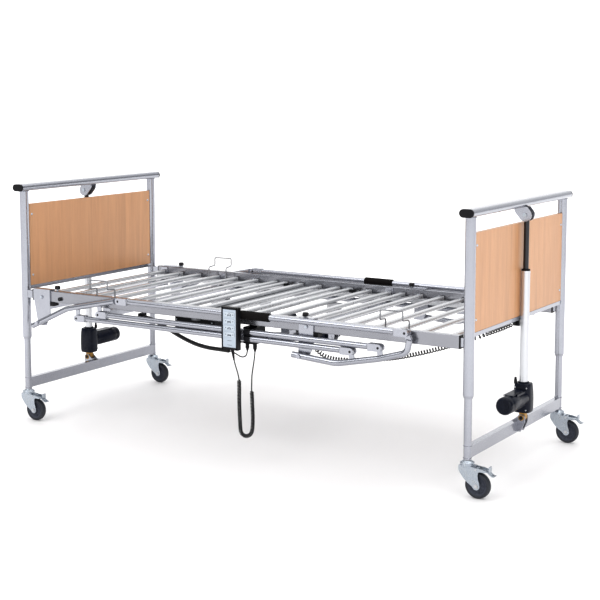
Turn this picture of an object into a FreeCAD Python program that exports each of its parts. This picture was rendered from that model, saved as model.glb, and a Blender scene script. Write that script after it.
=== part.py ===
import FreeCAD
import Part
import math
import os

# Adjustable homecare bed on castors, in millimetres, +Z up.
# +X runs from the head end to the foot end, -Y is the near long side, and the floor is z = 0.
# The row's origin is the centre of the bed's outline on the floor, so each node is moved there on export.
CENTRE_X = 23.0
CENTRE_Y = -13.4

V = FreeCAD.Vector
X = V(1, 0, 0)
Y = V(0, 1, 0)
Z = V(0, 0, 1)

# end frames
POST_X = 1096.0
POST_Y = 456.0
POST_R = 20.5
POST_WALL = 2.5
POST_BOTTOM = 374.0
GUIDE_HEIGHT = 60.0
TOP_RAIL_Z = 1061.0
TOP_RAIL_WIDTH = 58.0
TOP_RAIL_HEIGHT = 32.0
TOP_RAIL_HALF_LENGTH = 490.0
CAP_LENGTH = 9.0
BOARD_BOTTOM = 615.0
BOARD_TOP = 985.0
BOARD_THICK = 18.0
BOARD_HALF_WIDTH = 433.0

# lifting legs
LEG_R = 15.0
LEG_FIT = 0.06
LEG_BOTTOM = 141.0
LEG_TOP = 700.0
CROSSBAR_BOTTOM = 148.0
CROSSBAR_TOP = 193.0
CROSSBAR_THICK = 25.0

# lift actuators
LIFT_X = 1125.0
LIFT_PIN_TOP = 1017.0
LIFT_PIN_LOW = 208.0
LIFT_ROD_R = 11.0
LIFT_ROD_BOTTOM = 545.0
LIFT_TUBE_R = 17.5
LIFT_TUBE_BORE = 14.0
LIFT_TUBE_TOP = 803.0
LIFT_TUBE_BOTTOM = 348.0
LIFT_HOUSING_BOTTOM = 229.0
LIFT_MOTOR_Z = 290.0
LIFT_MOTOR_R = 35.0
LIFT_MOTOR_END = 200.0
RUN_FIT = 0.06

# mattress platform
RAIL_TOP = 606.0
RAIL_HEIGHT = 50.0
RAIL_WIDTH = 30.0
RAIL_WALL = 2.0
RAIL_HEAD_END = -1040.0
RAIL_FOOT_END = 1062.0
SLAT_TOP = 587.0
SLAT_WIDTH = 28.0
SLAT_HEIGHT = 16.0
SLAT_WALL = 1.5
SLAT_HALF_LENGTH = 430.0
SIDE_BAR_Y = 408.0
SIDE_BAR_WIDTH = 20.0
SIDE_BAR_HEIGHT = 24.0
HINGE_Z = 568.0
SEAT_TUBE_LOW = 541.0
BACK_HINGE_X = -232.0
THIGH_HINGE_X = 134.0
KNEE_HINGE_X = 402.0
BACK_SLATS = [-1004.0, -893.0, -781.0, -669.0, -558.0, -440.0, -330.0, -272.0]
SEAT_SLATS = [-184.0, -84.0, 16.0, 84.0]
THIGH_SLATS = [184.0, 284.0, 356.0]
CALF_SLATS = [446.0, 549.0, 652.0, 755.0, 858.0, 985.0]

RETAINER_WIDTH = 102.0
RETAINER_CRANK = 628.0
RETAINER_TOP = 669.0

# cot sides
COT_Y = 496.0
COT_LINK = 1376.0
COT_HEAD_X = -986.0
COT_PIVOT_Z = 462.0
COT_FAR_SHIFT_X = 26.0
COT_FAR_SHIFT_Z = 13.0
COT_TUBE_R = 12.5
COT_BARS = {"bottom": (232.0, 43.0), "middle": (354.0, 70.0), "top": (466.0, 138.0)}
COT_PIN_R = 4.0
BAR_END_R = 14.3
COT_PIVOT_R = 6.0
LUG_PLAY = 0.35

# locking knobs
KNOB_X = (-908.0, 389.0)
KNOB_STEM_R = 4.0

# castors
WHEEL_R = 50.0
WHEEL_WIDTH = 26.0
WHEEL_TRAIL = 45.0
AXLE_R = 4.0

parts = {}


def keep(name, *solids):
    parts.setdefault(name, []).extend(solids)


def box(x0, y0, z0, x1, y1, z1):
    return Part.makeBox(x1 - x0, y1 - y0, z1 - z0, V(x0, y0, z0))


def cylinder(radius, start, direction, length):
    return Part.makeCylinder(radius, length, start, direction)


def ring(outer, inner, start, direction, length):
    return cylinder(outer, start, direction, length).cut(cylinder(inner, start, direction, length))


def fuse(*solids):
    whole = solids[0].fuse(list(solids[1:]))
    return whole.removeSplitter()


def plate_xz(points, y0, thick):
    """A flat plate whose outline lies in the XZ plane, from y0 to y0 + thick."""
    outline = [V(x, y0, z) for x, z in points]
    face = Part.Face(Part.makePolygon(outline + [outline[0]]))
    return face.extrude(V(0, thick, 0))


def stadium_xz(x0, z0, x1, z1, radius, y0, thick):
    """A plate with two round ends, centred on (x0, z0) and (x1, z1)."""
    run = V(x1 - x0, 0, z1 - z0)
    side = V(-run.z, 0, run.x)
    side.normalize()
    side = side * radius
    a = V(x0, y0, z0)
    b = V(x1, y0, z1)
    corners = [a + side, b + side, b - side, a - side]
    face = Part.Face(Part.makePolygon(corners + [corners[0]]))
    bar = face.extrude(V(0, thick, 0))
    ends = [cylinder(radius, p, Y, thick) for p in (a, b)]
    return fuse(bar, *ends)


def rounded_route(points, radii):
    """A wire of straight runs through the points, with a tangent arc at each inner point."""
    edges = []
    start = points[0]
    for i in range(1, len(points) - 1):
        into = (points[i] - points[i - 1]).normalize()
        out = (points[i + 1] - points[i]).normalize()
        turn = into.getAngle(out)
        cut = radii[i - 1] * math.tan(turn / 2.0)
        a = points[i] - into * cut
        b = points[i] + out * cut
        centre_way = (out - into).normalize()
        reach = radii[i - 1] / math.cos(turn / 2.0) - radii[i - 1]
        middle = points[i] + centre_way * reach
        edges.append(Part.LineSegment(start, a).toShape())
        edges.append(Part.Arc(a, middle, b).toShape())
        start = b
    edges.append(Part.LineSegment(start, points[-1]).toShape())
    return Part.Wire(edges)


def tube_along(points, radii, radius):
    """A round bar swept along straight runs and tangent arcs."""
    route = rounded_route(points, radii)
    first = (points[1] - points[0]).normalize()
    section = Part.Wire(Part.makeCircle(radius, points[0], first))
    return route.makePipeShell([section], True, False)


def mirror_y(shape):
    return shape.mirror(V(0, 0, 0), Y)


def turn_half(shape):
    """The head end is the foot end turned half a turn about the vertical axis."""
    copy = shape.copy()
    copy.rotate(V(0, 0, 0), Z, 180.0)
    return copy


# ---------------------------------------------------------------- end frames

def flat_oval_rail(half_length):
    """The top rail: a tube with a flat-oval section, lying along Y."""
    flat = (TOP_RAIL_WIDTH - TOP_RAIL_HEIGHT) / 2.0
    x0 = POST_X - flat
    x1 = POST_X + flat
    bar = stadium_xz(x0, TOP_RAIL_Z, x1, TOP_RAIL_Z, TOP_RAIL_HEIGHT / 2.0, -half_length, 2 * half_length)
    bore = stadium_xz(x0, TOP_RAIL_Z, x1, TOP_RAIL_Z, TOP_RAIL_HEIGHT / 2.0 - 2.0, -half_length, 2 * half_length)
    return bar.cut(bore)


def oval_blank():
    """The outer shape of the top rail, to trim what is welded under it."""
    flat = (TOP_RAIL_WIDTH - TOP_RAIL_HEIGHT) / 2.0
    return stadium_xz(POST_X - flat, TOP_RAIL_Z, POST_X + flat, TOP_RAIL_Z, TOP_RAIL_HEIGHT / 2.0,
                      -TOP_RAIL_HALF_LENGTH, 2 * TOP_RAIL_HALF_LENGTH)


def outer_post(side):
    """An outer post, narrowed at its lower end to guide the leg that slides in it."""
    foot = V(POST_X, side * POST_Y, POST_BOTTOM)
    tube_foot = foot + V(0, 0, GUIDE_HEIGHT)
    tube = ring(POST_R, POST_R - POST_WALL, tube_foot, Z, TOP_RAIL_Z - tube_foot.z).cut(oval_blank())
    collar = Part.makeCone(POST_R - 3.0, POST_R, 10.0, foot, Z)
    guide = fuse(collar, cylinder(POST_R, foot + V(0, 0, 10), Z, GUIDE_HEIGHT - 10.0))
    guide = guide.cut(cylinder(LEG_R + LEG_FIT, foot, Z, GUIDE_HEIGHT))
    return fuse(tube, guide)


def rod_cheek(y0):
    """One of the two round plates under the top rail that hold the lift rod's pin."""
    plate = stadium_xz(POST_X + 10, TOP_RAIL_Z - 22, LIFT_X, LIFT_PIN_TOP, 26.0, y0, 5.0)
    plate = plate.cut(oval_blank())
    plate = plate.cut(box(POST_X - 60, y0 - 1, TOP_RAIL_Z - 12, LIFT_X + 60, y0 + 6, TOP_RAIL_Z + 60))
    return plate.cut(cylinder(5.0 + RUN_FIT, V(LIFT_X, y0 - 1, LIFT_PIN_TOP), Y, 7.0))


def foot_end_frame():
    """The welded pieces: two outer posts, top rail, lower cross strip, rail stubs and rod cheeks."""
    pieces = [flat_oval_rail(TOP_RAIL_HALF_LENGTH)]
    strip = box(POST_X - 10, -POST_Y + 12, BOARD_BOTTOM - 16, POST_X + 10, POST_Y - 12, BOARD_BOTTOM - 0.5)
    for side in (-1, 1):
        strip = strip.cut(cylinder(POST_R, V(POST_X, side * POST_Y, BOARD_BOTTOM - 20), Z, 30.0))
    pieces.append(strip)
    for side in (-1, 1):
        pieces.append(outer_post(side))
        y0 = side * POST_Y
        stub = box(RAIL_FOOT_END - 40, y0 - 10, RAIL_TOP - 42, POST_X, y0 + 10, RAIL_TOP - 8)
        pieces.append(stub.cut(cylinder(POST_R, V(POST_X, y0, POST_BOTTOM), Z, 400.0)))
    pieces.append(rod_cheek(14.5))
    pieces.append(rod_cheek(-19.5))
    return pieces


def board():
    """A bed-end board with its long top corners slightly rounded."""
    x0 = POST_X - BOARD_THICK / 2.0
    panel = box(x0, -BOARD_HALF_WIDTH, BOARD_BOTTOM, x0 + BOARD_THICK, BOARD_HALF_WIDTH, BOARD_TOP)
    upright = [e for e in panel.Edges if abs(e.tangentAt(e.FirstParameter).x) > 0.9]
    return panel.makeFillet(4.0, upright)


def board_screws():
    """Four screws through a board's corners, with a low domed head on each face."""
    screws = []
    for y0 in (-418.0, 418.0):
        for z0 in (661.0, 938.0):
            for face in (-1, 1):
                start = V(POST_X + face * BOARD_THICK / 2.0, y0, z0)
                screws.append(Part.makeCone(5.5, 3.5, 2.5, start, X * face))
    return screws


def top_rail_caps():
    caps = []
    for side in (-1, 1):
        y0 = TOP_RAIL_HALF_LENGTH if side > 0 else -TOP_RAIL_HALF_LENGTH - CAP_LENGTH
        cap = stadium_xz(POST_X - 13, TOP_RAIL_Z, POST_X + 13, TOP_RAIL_Z, TOP_RAIL_HEIGHT / 2.0, y0, CAP_LENGTH)
        face_y = y0 + (CAP_LENGTH if side > 0 else 0)
        rim = [e for e in cap.Edges if abs(e.BoundBox.YMin - face_y) < 0.01 and abs(e.BoundBox.YMax - face_y) < 0.01]
        caps.append(cap.makeFillet(3.0, rim))
    return caps


# ---------------------------------------------------------------- lifting legs

def foot_leg_frame():
    """Two inner legs joined by a crossbar, with the clevis of the lift actuator on it."""
    pieces = []
    bar = box(POST_X - CROSSBAR_THICK / 2, -POST_Y + 8, CROSSBAR_BOTTOM,
              POST_X + CROSSBAR_THICK / 2, POST_Y - 8, CROSSBAR_TOP)
    hollow = box(POST_X - CROSSBAR_THICK / 2 + 2, -POST_Y, CROSSBAR_BOTTOM + 2,
                 POST_X + CROSSBAR_THICK / 2 - 2, POST_Y, CROSSBAR_TOP - 2)
    bar = bar.cut(hollow)
    for side in (-1, 1):
        bar = bar.cut(cylinder(LEG_R, V(POST_X, side * POST_Y, 100), Z, 150.0))
        foot = V(POST_X, side * POST_Y, LEG_BOTTOM)
        pieces.append(ring(LEG_R, LEG_R - 2.5, foot, Z, LEG_TOP - LEG_BOTTOM))
    pieces.append(bar)
    seat = box(POST_X + CROSSBAR_THICK / 2, -18, CROSSBAR_BOTTOM + 4, POST_X + CROSSBAR_THICK / 2 + 4, 18, CROSSBAR_TOP)
    pieces.append(seat)
    for y0 in (-18.0, 13.0):
        cheek = plate_xz([(POST_X - 11, CROSSBAR_TOP), (POST_X + 16, CROSSBAR_TOP), (POST_X + 16, CROSSBAR_TOP - 42),
                          (LIFT_X - 2, CROSSBAR_TOP - 42), (LIFT_X + 15, LIFT_PIN_LOW - 16), (LIFT_X + 15, LIFT_PIN_LOW + 4),
                          (LIFT_X + 7, LIFT_PIN_LOW + 13), (LIFT_X - 9, LIFT_PIN_LOW + 13),
                          (LIFT_X - 16, LIFT_PIN_LOW + 4)], y0, 5.0)
        cheek = cheek.cut(cylinder(5.0 + RUN_FIT, V(LIFT_X, y0 - 1, LIFT_PIN_LOW), Y, 7.0))
        cheek = cheek.cut(box(POST_X - 20, -30, 100, POST_X + CROSSBAR_THICK / 2 + 4, 30, CROSSBAR_TOP))
        pieces.append(cheek)
    return pieces


def lift_housing():
    """The gear housing and motor can of a lift actuator, with the lug for its lower pin."""
    body = box(LIFT_X - 37, -33, LIFT_HOUSING_BOTTOM, LIFT_X + 38, 33, LIFT_TUBE_BOTTOM)
    corners = [e for e in body.Edges if abs(e.tangentAt(e.FirstParameter).z) > 0.9]
    body = body.makeFillet(14.0, corners)
    lug = box(LIFT_X - 10, -12, LIFT_PIN_LOW, LIFT_X + 10, 12, LIFT_HOUSING_BOTTOM + 2)
    eye = cylinder(14.0, V(LIFT_X, -12, LIFT_PIN_LOW), Y, 24.0)
    can = cylinder(LIFT_MOTOR_R, V(LIFT_X, -30, LIFT_MOTOR_Z), -Y, LIFT_MOTOR_END - 30 - 12)
    nose = Part.makeCone(LIFT_MOTOR_R, LIFT_MOTOR_R - 9, 12.0, V(LIFT_X, -LIFT_MOTOR_END + 12, LIFT_MOTOR_Z), -Y)
    body = fuse(body, lug, eye, can, nose)
    return body.cut(cylinder(8.0, V(LIFT_X, -13, LIFT_PIN_LOW), Y, 26.0))


def lift_tube():
    foot = V(LIFT_X, 0, LIFT_TUBE_BOTTOM)
    tube = ring(LIFT_TUBE_R, LIFT_TUBE_BORE, foot, Z, LIFT_TUBE_TOP - LIFT_TUBE_BOTTOM - 14)
    collar = ring(LIFT_TUBE_R + 1.0, LIFT_ROD_R + RUN_FIT, V(LIFT_X, 0, LIFT_TUBE_TOP - 14), Z, 14.0)
    return fuse(tube, collar)


def lift_pin(z):
    """A pivot pin with a low head on each end."""
    return fuse(cylinder(5.0, V(LIFT_X, -22, z), Y, 44.0),
                cylinder(8.0, V(LIFT_X, -23, z), Y, 3.0),
                cylinder(8.0, V(LIFT_X, 20, z), Y, 3.0))


def lift_bush():
    return ring(7.95, 5.0 + RUN_FIT, V(LIFT_X, -12.5, LIFT_PIN_LOW), Y, 25.0)


def lift_rod():
    """The black push rod with a round eye at its top."""
    rod = cylinder(LIFT_ROD_R, V(LIFT_X, 0, LIFT_ROD_BOTTOM), Z, LIFT_PIN_TOP - LIFT_ROD_BOTTOM)
    eye = cylinder(18.0, V(LIFT_X, -12, LIFT_PIN_TOP), Y, 24.0)
    return fuse(rod, eye).cut(cylinder(5.0 + RUN_FIT, V(LIFT_X, -14, LIFT_PIN_TOP), Y, 28.0))


def make_ends():
    frame = foot_end_frame()
    legs = foot_leg_frame()
    motor = [lift_housing(), lift_tube(), lift_pin(LIFT_PIN_LOW), lift_bush()]
    rod = lift_rod()
    panel = board()
    caps = top_rail_caps()
    small = board_screws() + [lift_pin(LIFT_PIN_TOP)]
    keep("foot_end_frame", *frame)
    keep("head_end_frame", *[turn_half(s) for s in frame])
    keep("foot_leg_frame", *legs)
    keep("head_leg_frame", *[turn_half(s) for s in legs])
    keep("foot_lift_motor", *motor)
    keep("head_lift_motor", *[turn_half(s) for s in motor])
    keep("foot_lift_rod", rod)
    keep("head_lift_rod", turn_half(rod))
    keep("foot_board", panel)
    keep("head_board", turn_half(panel))
    keep("tube_end_caps", *caps)
    keep("tube_end_caps", *[turn_half(s) for s in caps])
    keep("fasteners", *small)
    keep("fasteners", *[turn_half(s) for s in small])


# ---------------------------------------------------------------- castors

PEDAL_X = 42.0
PEDAL_Z = 112.0
FORK_TOP = 118.0


def fork_cheek(y0):
    """A side plate of the fork, tapering from the swivel head down to the axle."""
    plate = plate_xz([(-26, FORK_TOP), (PEDAL_X + 6, FORK_TOP), (PEDAL_X + 8, 104), (WHEEL_TRAIL + 14, 50),
                      (WHEEL_TRAIL + 8, 38), (WHEEL_TRAIL - 8, 38), (WHEEL_TRAIL - 16, 52), (-18, 92), (-26, 104)],
                     y0, 3.0)
    return plate


def castor_fork():
    """Swivel head, stem, fork cheeks, wheel axle and the brake pedal's pin."""
    pieces = [cylinder(11.0, V(0, 0, 130), Z, 45.0),
              cylinder(27.0, V(0, 0, 121), Z, 13.0),
              cylinder(23.0, V(0, 0, 134), Z, 4.0),
              box(-26, -20, FORK_TOP - 3, 33, 20, FORK_TOP + 4),
              fork_cheek(17.0), fork_cheek(-20.0),
              cylinder(AXLE_R, V(WHEEL_TRAIL, -24, WHEEL_R), Y, 48.0),
              cylinder(7.5, V(WHEEL_TRAIL, 20, WHEEL_R), Y, 4.0),
              cylinder(7.5, V(WHEEL_TRAIL, -24, WHEEL_R), Y, 4.0),
              cylinder(3.0, V(PEDAL_X, -21, PEDAL_Z), Y, 42.0)]
    return fuse(*pieces)


def castor_wheel():
    """A tyred wheel: rounded tread, thinner web and a bored hub."""
    half = WHEEL_WIDTH / 2.0
    profile = [V(AXLE_R + RUN_FIT, 0, -15), V(12, 0, -15), V(14, 0, -8), V(34, 0, -8), V(36, 0, -half),
               V(WHEEL_R - 4, 0, -half)]
    top = [V(p.x, 0, -p.z) for p in reversed(profile)]
    tread = Part.Arc(profile[-1], V(WHEEL_R, 0, 0), top[0]).toShape()
    low = Part.makePolygon(profile).Edges
    high = Part.makePolygon(top + [profile[0]]).Edges
    section = Part.Face(Part.Wire(low + [tread] + high))
    wheel = section.revolve(V(0, 0, 0), Z, 360.0)
    wheel.rotate(V(0, 0, 0), X, 90.0)
    wheel.translate(V(WHEEL_TRAIL, 0, WHEEL_R))
    return wheel


def brake_pedal():
    """The total-lock lever behind the wheel: hub, arm, raised release tab and foot pedal."""
    arm = plate_xz([(PEDAL_X, 106), (94, 104), (98, 96), (112, 92), (113, 96), (101, 101), (97, 110), (95, 128),
                    (91, 128), (90, 111), (PEDAL_X, 114)], -14, 28.0)
    hub = cylinder(5.5, V(PEDAL_X, -14, PEDAL_Z), Y, 28.0)
    lever = fuse(arm, hub)
    return lever.cut(cylinder(3.0 + RUN_FIT, V(PEDAL_X, -15, PEDAL_Z), Y, 30.0))


def make_castors():
    shapes = {"fork": castor_fork(), "wheel": castor_wheel(), "brake": brake_pedal()}
    for end, x0 in (("head", -POST_X), ("foot", POST_X)):
        for side, y0 in (("near", -POST_Y), ("far", POST_Y)):
            for kind, shape in shapes.items():
                keep(end + "_" + side + "_" + kind, shape.translated(V(x0, y0, 0)))


# ---------------------------------------------------------------- platform frame

CROSS_TUBE = 30.0
CROSS_TUBE_TOP = 542.0
BACK_DRIVE_Y = -60.0
BACK_DRIVE_PIVOT = (285.0, 455.0)
BACK_LEVER_PIN = (-260.0, 404.0)
BACK_LEVER_SLOT = (-9.0, 17.0, -9.0, 32.0)
THIGH_DRIVE_Y = 100.0
THIGH_DRIVE_PIVOT = (-165.0, 470.0)
THIGH_LEVER_PIN = (174.0, 424.0)
THIGH_LEVER_SLOT = (-12.0, 10.0, -10.0, 15.0)
DRIVE_PIN_R = 6.0


def side_rail(side):
    y0 = side * POST_Y
    half = RAIL_WIDTH / 2.0
    low = RAIL_TOP - RAIL_HEIGHT
    bar = box(RAIL_HEAD_END, y0 - half, low, RAIL_FOOT_END, y0 + half, RAIL_TOP)
    edges = [e for e in bar.Edges if abs(e.tangentAt(e.FirstParameter).x) > 0.9]
    bar = bar.makeFillet(2.5, edges)
    hollow = box(RAIL_HEAD_END - 1, y0 - half + RAIL_WALL, low + RAIL_WALL,
                 RAIL_FOOT_END + 1, y0 + half - RAIL_WALL, RAIL_TOP - RAIL_WALL)
    return bar.cut(hollow)


def rail_end_caps():
    """Black frames on the rail ends, open for the stubs of the end frames."""
    caps = []
    for side in (-1, 1):
        y0 = side * POST_Y
        for x0 in (RAIL_HEAD_END - 4.0, RAIL_FOOT_END):
            cap = box(x0, y0 - 15, RAIL_TOP - RAIL_HEIGHT, x0 + 4.0, y0 + 15, RAIL_TOP)
            caps.append(cap.cut(box(x0 - 1, y0 - 11, RAIL_TOP - 43, x0 + 5, y0 + 11, RAIL_TOP - 7)))
    return caps


def drop_tube(x0):
    """A cross tube under the platform, with an upright plate at each end welded to the rail."""
    half = CROSS_TUBE / 2.0
    low = CROSS_TUBE_TOP - CROSS_TUBE
    tube = box(x0 - half, -436, low, x0 + half, 436, CROSS_TUBE_TOP)
    tube = tube.cut(box(x0 - half + 2, -436, low + 2, x0 + half - 2, 436, CROSS_TUBE_TOP - 2))
    plates = [box(x0 - 20, -441, low, x0 + 20, -436, RAIL_TOP - 4), box(x0 - 20, 436, low, x0 + 20, 441, RAIL_TOP - 4)]
    return [tube] + plates


def drive_clevis(pivot, y0, top_z):
    """Two ears below a cross tube that carry an actuator's rear pin."""
    ears = []
    for low_y in (y0 - 21, y0 + 16):
        ear = plate_xz([(pivot[0] - 18, top_z), (pivot[0] + 18, top_z), (pivot[0] + 12, pivot[1] - 8),
                        (pivot[0] + 6, pivot[1] - 13), (pivot[0] - 6, pivot[1] - 13), (pivot[0] - 12, pivot[1] - 8)],
                       low_y, 5.0)
        ears.append(ear)
    pin = cylinder(DRIVE_PIN_R, V(pivot[0], y0 - 23, pivot[1]), Y, 46.0)
    return ears + [pin]


def slat(x0):
    """A flat-oval slat tube across the platform."""
    r = SLAT_HEIGHT / 2.0
    z0 = SLAT_TOP - r
    flat = SLAT_WIDTH / 2.0 - r
    tube = stadium_xz(x0 - flat, z0, x0 + flat, z0, r, -SLAT_HALF_LENGTH, 2 * SLAT_HALF_LENGTH)
    bore = stadium_xz(x0 - flat, z0, x0 + flat, z0, r - SLAT_WALL, -SLAT_HALF_LENGTH, 2 * SLAT_HALF_LENGTH)
    return tube.cut(bore)


def side_bar(x0, x1, side):
    z1 = SLAT_TOP - SLAT_HEIGHT
    y0 = side * SIDE_BAR_Y
    half = SIDE_BAR_WIDTH / 2.0
    bar = box(x0, y0 - half, z1 - SIDE_BAR_HEIGHT, x1, y0 + half, z1)
    wall = SLAT_WALL
    return bar.cut(box(x0 - 1, y0 - half + wall, z1 - SIDE_BAR_HEIGHT + wall, x1 + 1, y0 + half - wall, z1 - wall))


def hinge_ear(hinge_x, way, side, outer):
    """A hinge plate with its spacer to the side bar: outer ears hold the pin, inner ears turn on it."""
    face = side * (429.0 if outer else 420.5)
    y0 = min(face, face + side * 5.0)
    far = hinge_x + way * 44
    body = box(min(hinge_x, far), y0, HINGE_Z - 9, max(hinge_x, far), y0 + 5.0, HINGE_Z + 3)
    ear = fuse(body, cylinder(10.0, V(hinge_x, y0, HINGE_Z), Y, 5.0))
    near = hinge_x + way * 20
    bar_face = side * (SIDE_BAR_Y + SIDE_BAR_WIDTH / 2.0)
    spacer = box(min(near, far), min(bar_face, face), HINGE_Z - 9, max(near, far), max(bar_face, face), HINGE_Z + 3)
    ear = fuse(ear, spacer)
    if outer:
        pin_y = min(side * 415.0, side * 434.0)
        return fuse(ear, cylinder(5.0, V(hinge_x, pin_y, HINGE_Z), Y, 19.0))
    return ear.cut(cylinder(5.0 + RUN_FIT, V(hinge_x, y0 - 1, HINGE_Z), Y, 7.0))


def section(slats, x0, x1):
    """Slats welded on two side bars."""
    pieces = [slat(x) for x in slats]
    pieces += [side_bar(x0, x1, side) for side in (-1, 1)]
    return pieces


def lever(pin, y0, root_x0, root_x1, slot):
    """Two slotted plates hanging from a section, between which an actuator's rod end works."""
    plates = []
    top = SLAT_TOP - SLAT_HEIGHT
    for low_y in (y0 - 21, y0 + 16):
        plate = plate_xz([(root_x0, top), (root_x1, top), (pin[0] + slot[1] + 10, pin[1] + slot[3]),
                          (pin[0] + slot[1] + 8, pin[1] - 10), (pin[0] + slot[1], pin[1] - 18),
                          (pin[0] + slot[0], pin[1] - 18), (pin[0] + slot[0] - 8, pin[1] - 10)], low_y, 5.0)
        hole = box(pin[0] + slot[0], low_y - 1, pin[1] + slot[2], pin[0] + slot[1], low_y + 6, pin[1] + slot[3])
        plates.append(plate.cut(hole))
    return plates


def drive_motor(pivot, pin, y0, outer_end):
    """An actuator's gear housing with motor can and outer tube, pointing from its pivot to the pin."""
    run = V(pin[0] - pivot[0], 0, pin[1] - pivot[1])
    length = run.Length
    way = run.normalize()
    rear = V(pivot[0], y0, pivot[1])
    knuckle = cylinder(14.0, rear - V(0, 13, 0), Y, 26.0)
    neck = cylinder(13.0, rear, way, 40.0)
    body = cylinder(26.0, rear + way * 30, way, 70.0)
    can = cylinder(24.0, rear + way * 62 + V(0, 20, 0), Y, 110.0)
    tube = cylinder(19.0, rear + way * 90, way, length - outer_end - 90)
    whole = fuse(knuckle, neck, body, can, tube)
    bore = cylinder(12.0 + RUN_FIT, rear + way * 108, way, length)
    hole = cylinder(DRIVE_PIN_R + RUN_FIT, rear - V(0, 30, 0), Y, 60.0)
    return whole.cut(bore).cut(hole)


def drive_rod(pivot, pin, y0, stroke):
    """The push rod of an actuator with a round eye and its cross pin."""
    run = V(pin[0] - pivot[0], 0, pin[1] - pivot[1])
    way = run.normalize()
    tip = V(pin[0], y0, pin[1])
    rod = cylinder(12.0, tip, way * -1, stroke)
    eye = cylinder(14.0, tip - V(0, 13, 0), Y, 26.0)
    pin_bar = cylinder(DRIVE_PIN_R, tip - V(0, 24, 0), Y, 48.0)
    return fuse(rod, eye, pin_bar)


def retainer(x0, side):
    """A mattress retainer: a wire hoop that stands on a side bar and is cranked out over the side rail."""
    inner = side * 404.0
    outer = side * 452.0
    low = SLAT_TOP - SLAT_HEIGHT
    x1 = x0 + RETAINER_WIDTH
    points = [V(x0, inner, low), V(x0, inner, RETAINER_CRANK), V(x0 + 2, outer, RETAINER_CRANK + 3),
              V(x0 + 2, outer, RETAINER_TOP), V(x1 - 3, outer, RETAINER_TOP + 3),
              V(x1 - 3, outer, RETAINER_CRANK + 7), V(x1, inner, RETAINER_CRANK + 2), V(x1, inner, low)]
    return tube_along(points, [7.0] * 6, 3.0)


def make_platform():
    keep("near_side_rail", side_rail(-1))
    keep("far_side_rail", side_rail(1))
    keep("tube_end_caps", *rail_end_caps())
    for x0 in (-1000.0, -640.0, BACK_DRIVE_PIVOT[0]):
        keep("frame_cross_tubes", *drop_tube(x0))
    keep("frame_cross_tubes", *drive_clevis(BACK_DRIVE_PIVOT, BACK_DRIVE_Y, CROSS_TUBE_TOP - CROSS_TUBE))
    make_seat()
    make_backrest()
    make_leg_sections()


def make_seat():
    """The fixed section, its cross tube with the leg actuator's ears, and both hinges' outer ears."""
    x0 = THIGH_DRIVE_PIVOT[0]
    pieces = section(SEAT_SLATS, BACK_HINGE_X + 14, THIGH_HINGE_X - 14)
    tube = box(x0 - 15, -441, SEAT_TUBE_LOW, x0 + 15, 441, SLAT_TOP - SLAT_HEIGHT)
    for side in (-1, 1):
        y0 = side * SIDE_BAR_Y
        tube = tube.cut(box(x0 - 16, y0 - SIDE_BAR_WIDTH / 2, SEAT_TUBE_LOW - 1, x0 + 16, y0 + SIDE_BAR_WIDTH / 2, 600))
        pieces.append(hinge_ear(BACK_HINGE_X, 1, side, True))
        pieces.append(hinge_ear(THIGH_HINGE_X, -1, side, True))
    pieces += tube.Solids
    pieces += drive_clevis(THIGH_DRIVE_PIVOT, THIGH_DRIVE_Y, SEAT_TUBE_LOW)
    keep("seat_section", *pieces)


def make_backrest():
    pieces = section(BACK_SLATS, BACK_SLATS[0] - 14, BACK_HINGE_X - 14)
    pieces += [hinge_ear(BACK_HINGE_X, -1, side, False) for side in (-1, 1)]
    pieces += lever(BACK_LEVER_PIN, BACK_DRIVE_Y, -346.0, -262.0, BACK_LEVER_SLOT)
    keep("backrest_section", *pieces)
    keep("head_retainers", retainer(-724.0, -1), retainer(-699.0, 1))
    keep("backrest_motor", drive_motor(BACK_DRIVE_PIVOT, BACK_LEVER_PIN, BACK_DRIVE_Y, 60.0))
    keep("backrest_rod", drive_rod(BACK_DRIVE_PIVOT, BACK_LEVER_PIN, BACK_DRIVE_Y, 240.0))


def make_leg_sections():
    thigh = section(THIGH_SLATS, THIGH_HINGE_X + 14, KNEE_HINGE_X - 14)
    calf = section(CALF_SLATS, KNEE_HINGE_X + 14, CALF_SLATS[-1] + 14)
    for side in (-1, 1):
        thigh.append(hinge_ear(THIGH_HINGE_X, 1, side, False))
        thigh.append(hinge_ear(KNEE_HINGE_X, -1, side, True))
        calf.append(hinge_ear(KNEE_HINGE_X, 1, side, False))
    thigh += lever(THIGH_LEVER_PIN, THIGH_DRIVE_Y, 170.0, 226.0, THIGH_LEVER_SLOT)
    keep("thigh_section", *thigh)
    keep("calf_section", *calf)
    keep("foot_retainers", retainer(720.0, -1), retainer(720.0, 1))
    keep("thigh_motor", drive_motor(THIGH_DRIVE_PIVOT, THIGH_LEVER_PIN, THIGH_DRIVE_Y, 50.0))
    keep("thigh_rod", drive_rod(THIGH_DRIVE_PIVOT, THIGH_LEVER_PIN, THIGH_DRIVE_Y, 130.0))


# ---------------------------------------------------------------- cot sides

def lug(foot, pin):
    """A small plate from an upright to a bar's pin, bored to turn on it."""
    plate = stadium_xz(foot[0], foot[1], pin[0], pin[1], 11.0, COT_Y - 2.5, 5.0)
    return plate


def upright(points, radii, lugs, mount):
    """A bent upright tube with its bar lugs and the bore of its lower pivot."""
    route = [V(x, COT_Y, z) for x, z in points]
    tube = tube_along(route, radii, COT_TUBE_R)
    plates = [lug(foot, pin) for foot, pin in lugs]
    whole = fuse(tube, *plates)
    for foot, pin in lugs:
        whole = whole.cut(cylinder(COT_PIN_R + LUG_PLAY, V(pin[0], COT_Y - 5, pin[1]), Y, 10.0))
    return whole.cut(cylinder(COT_PIVOT_R + RUN_FIT, V(mount[0], COT_Y - 20, mount[1]), Y, 40.0))


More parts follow.
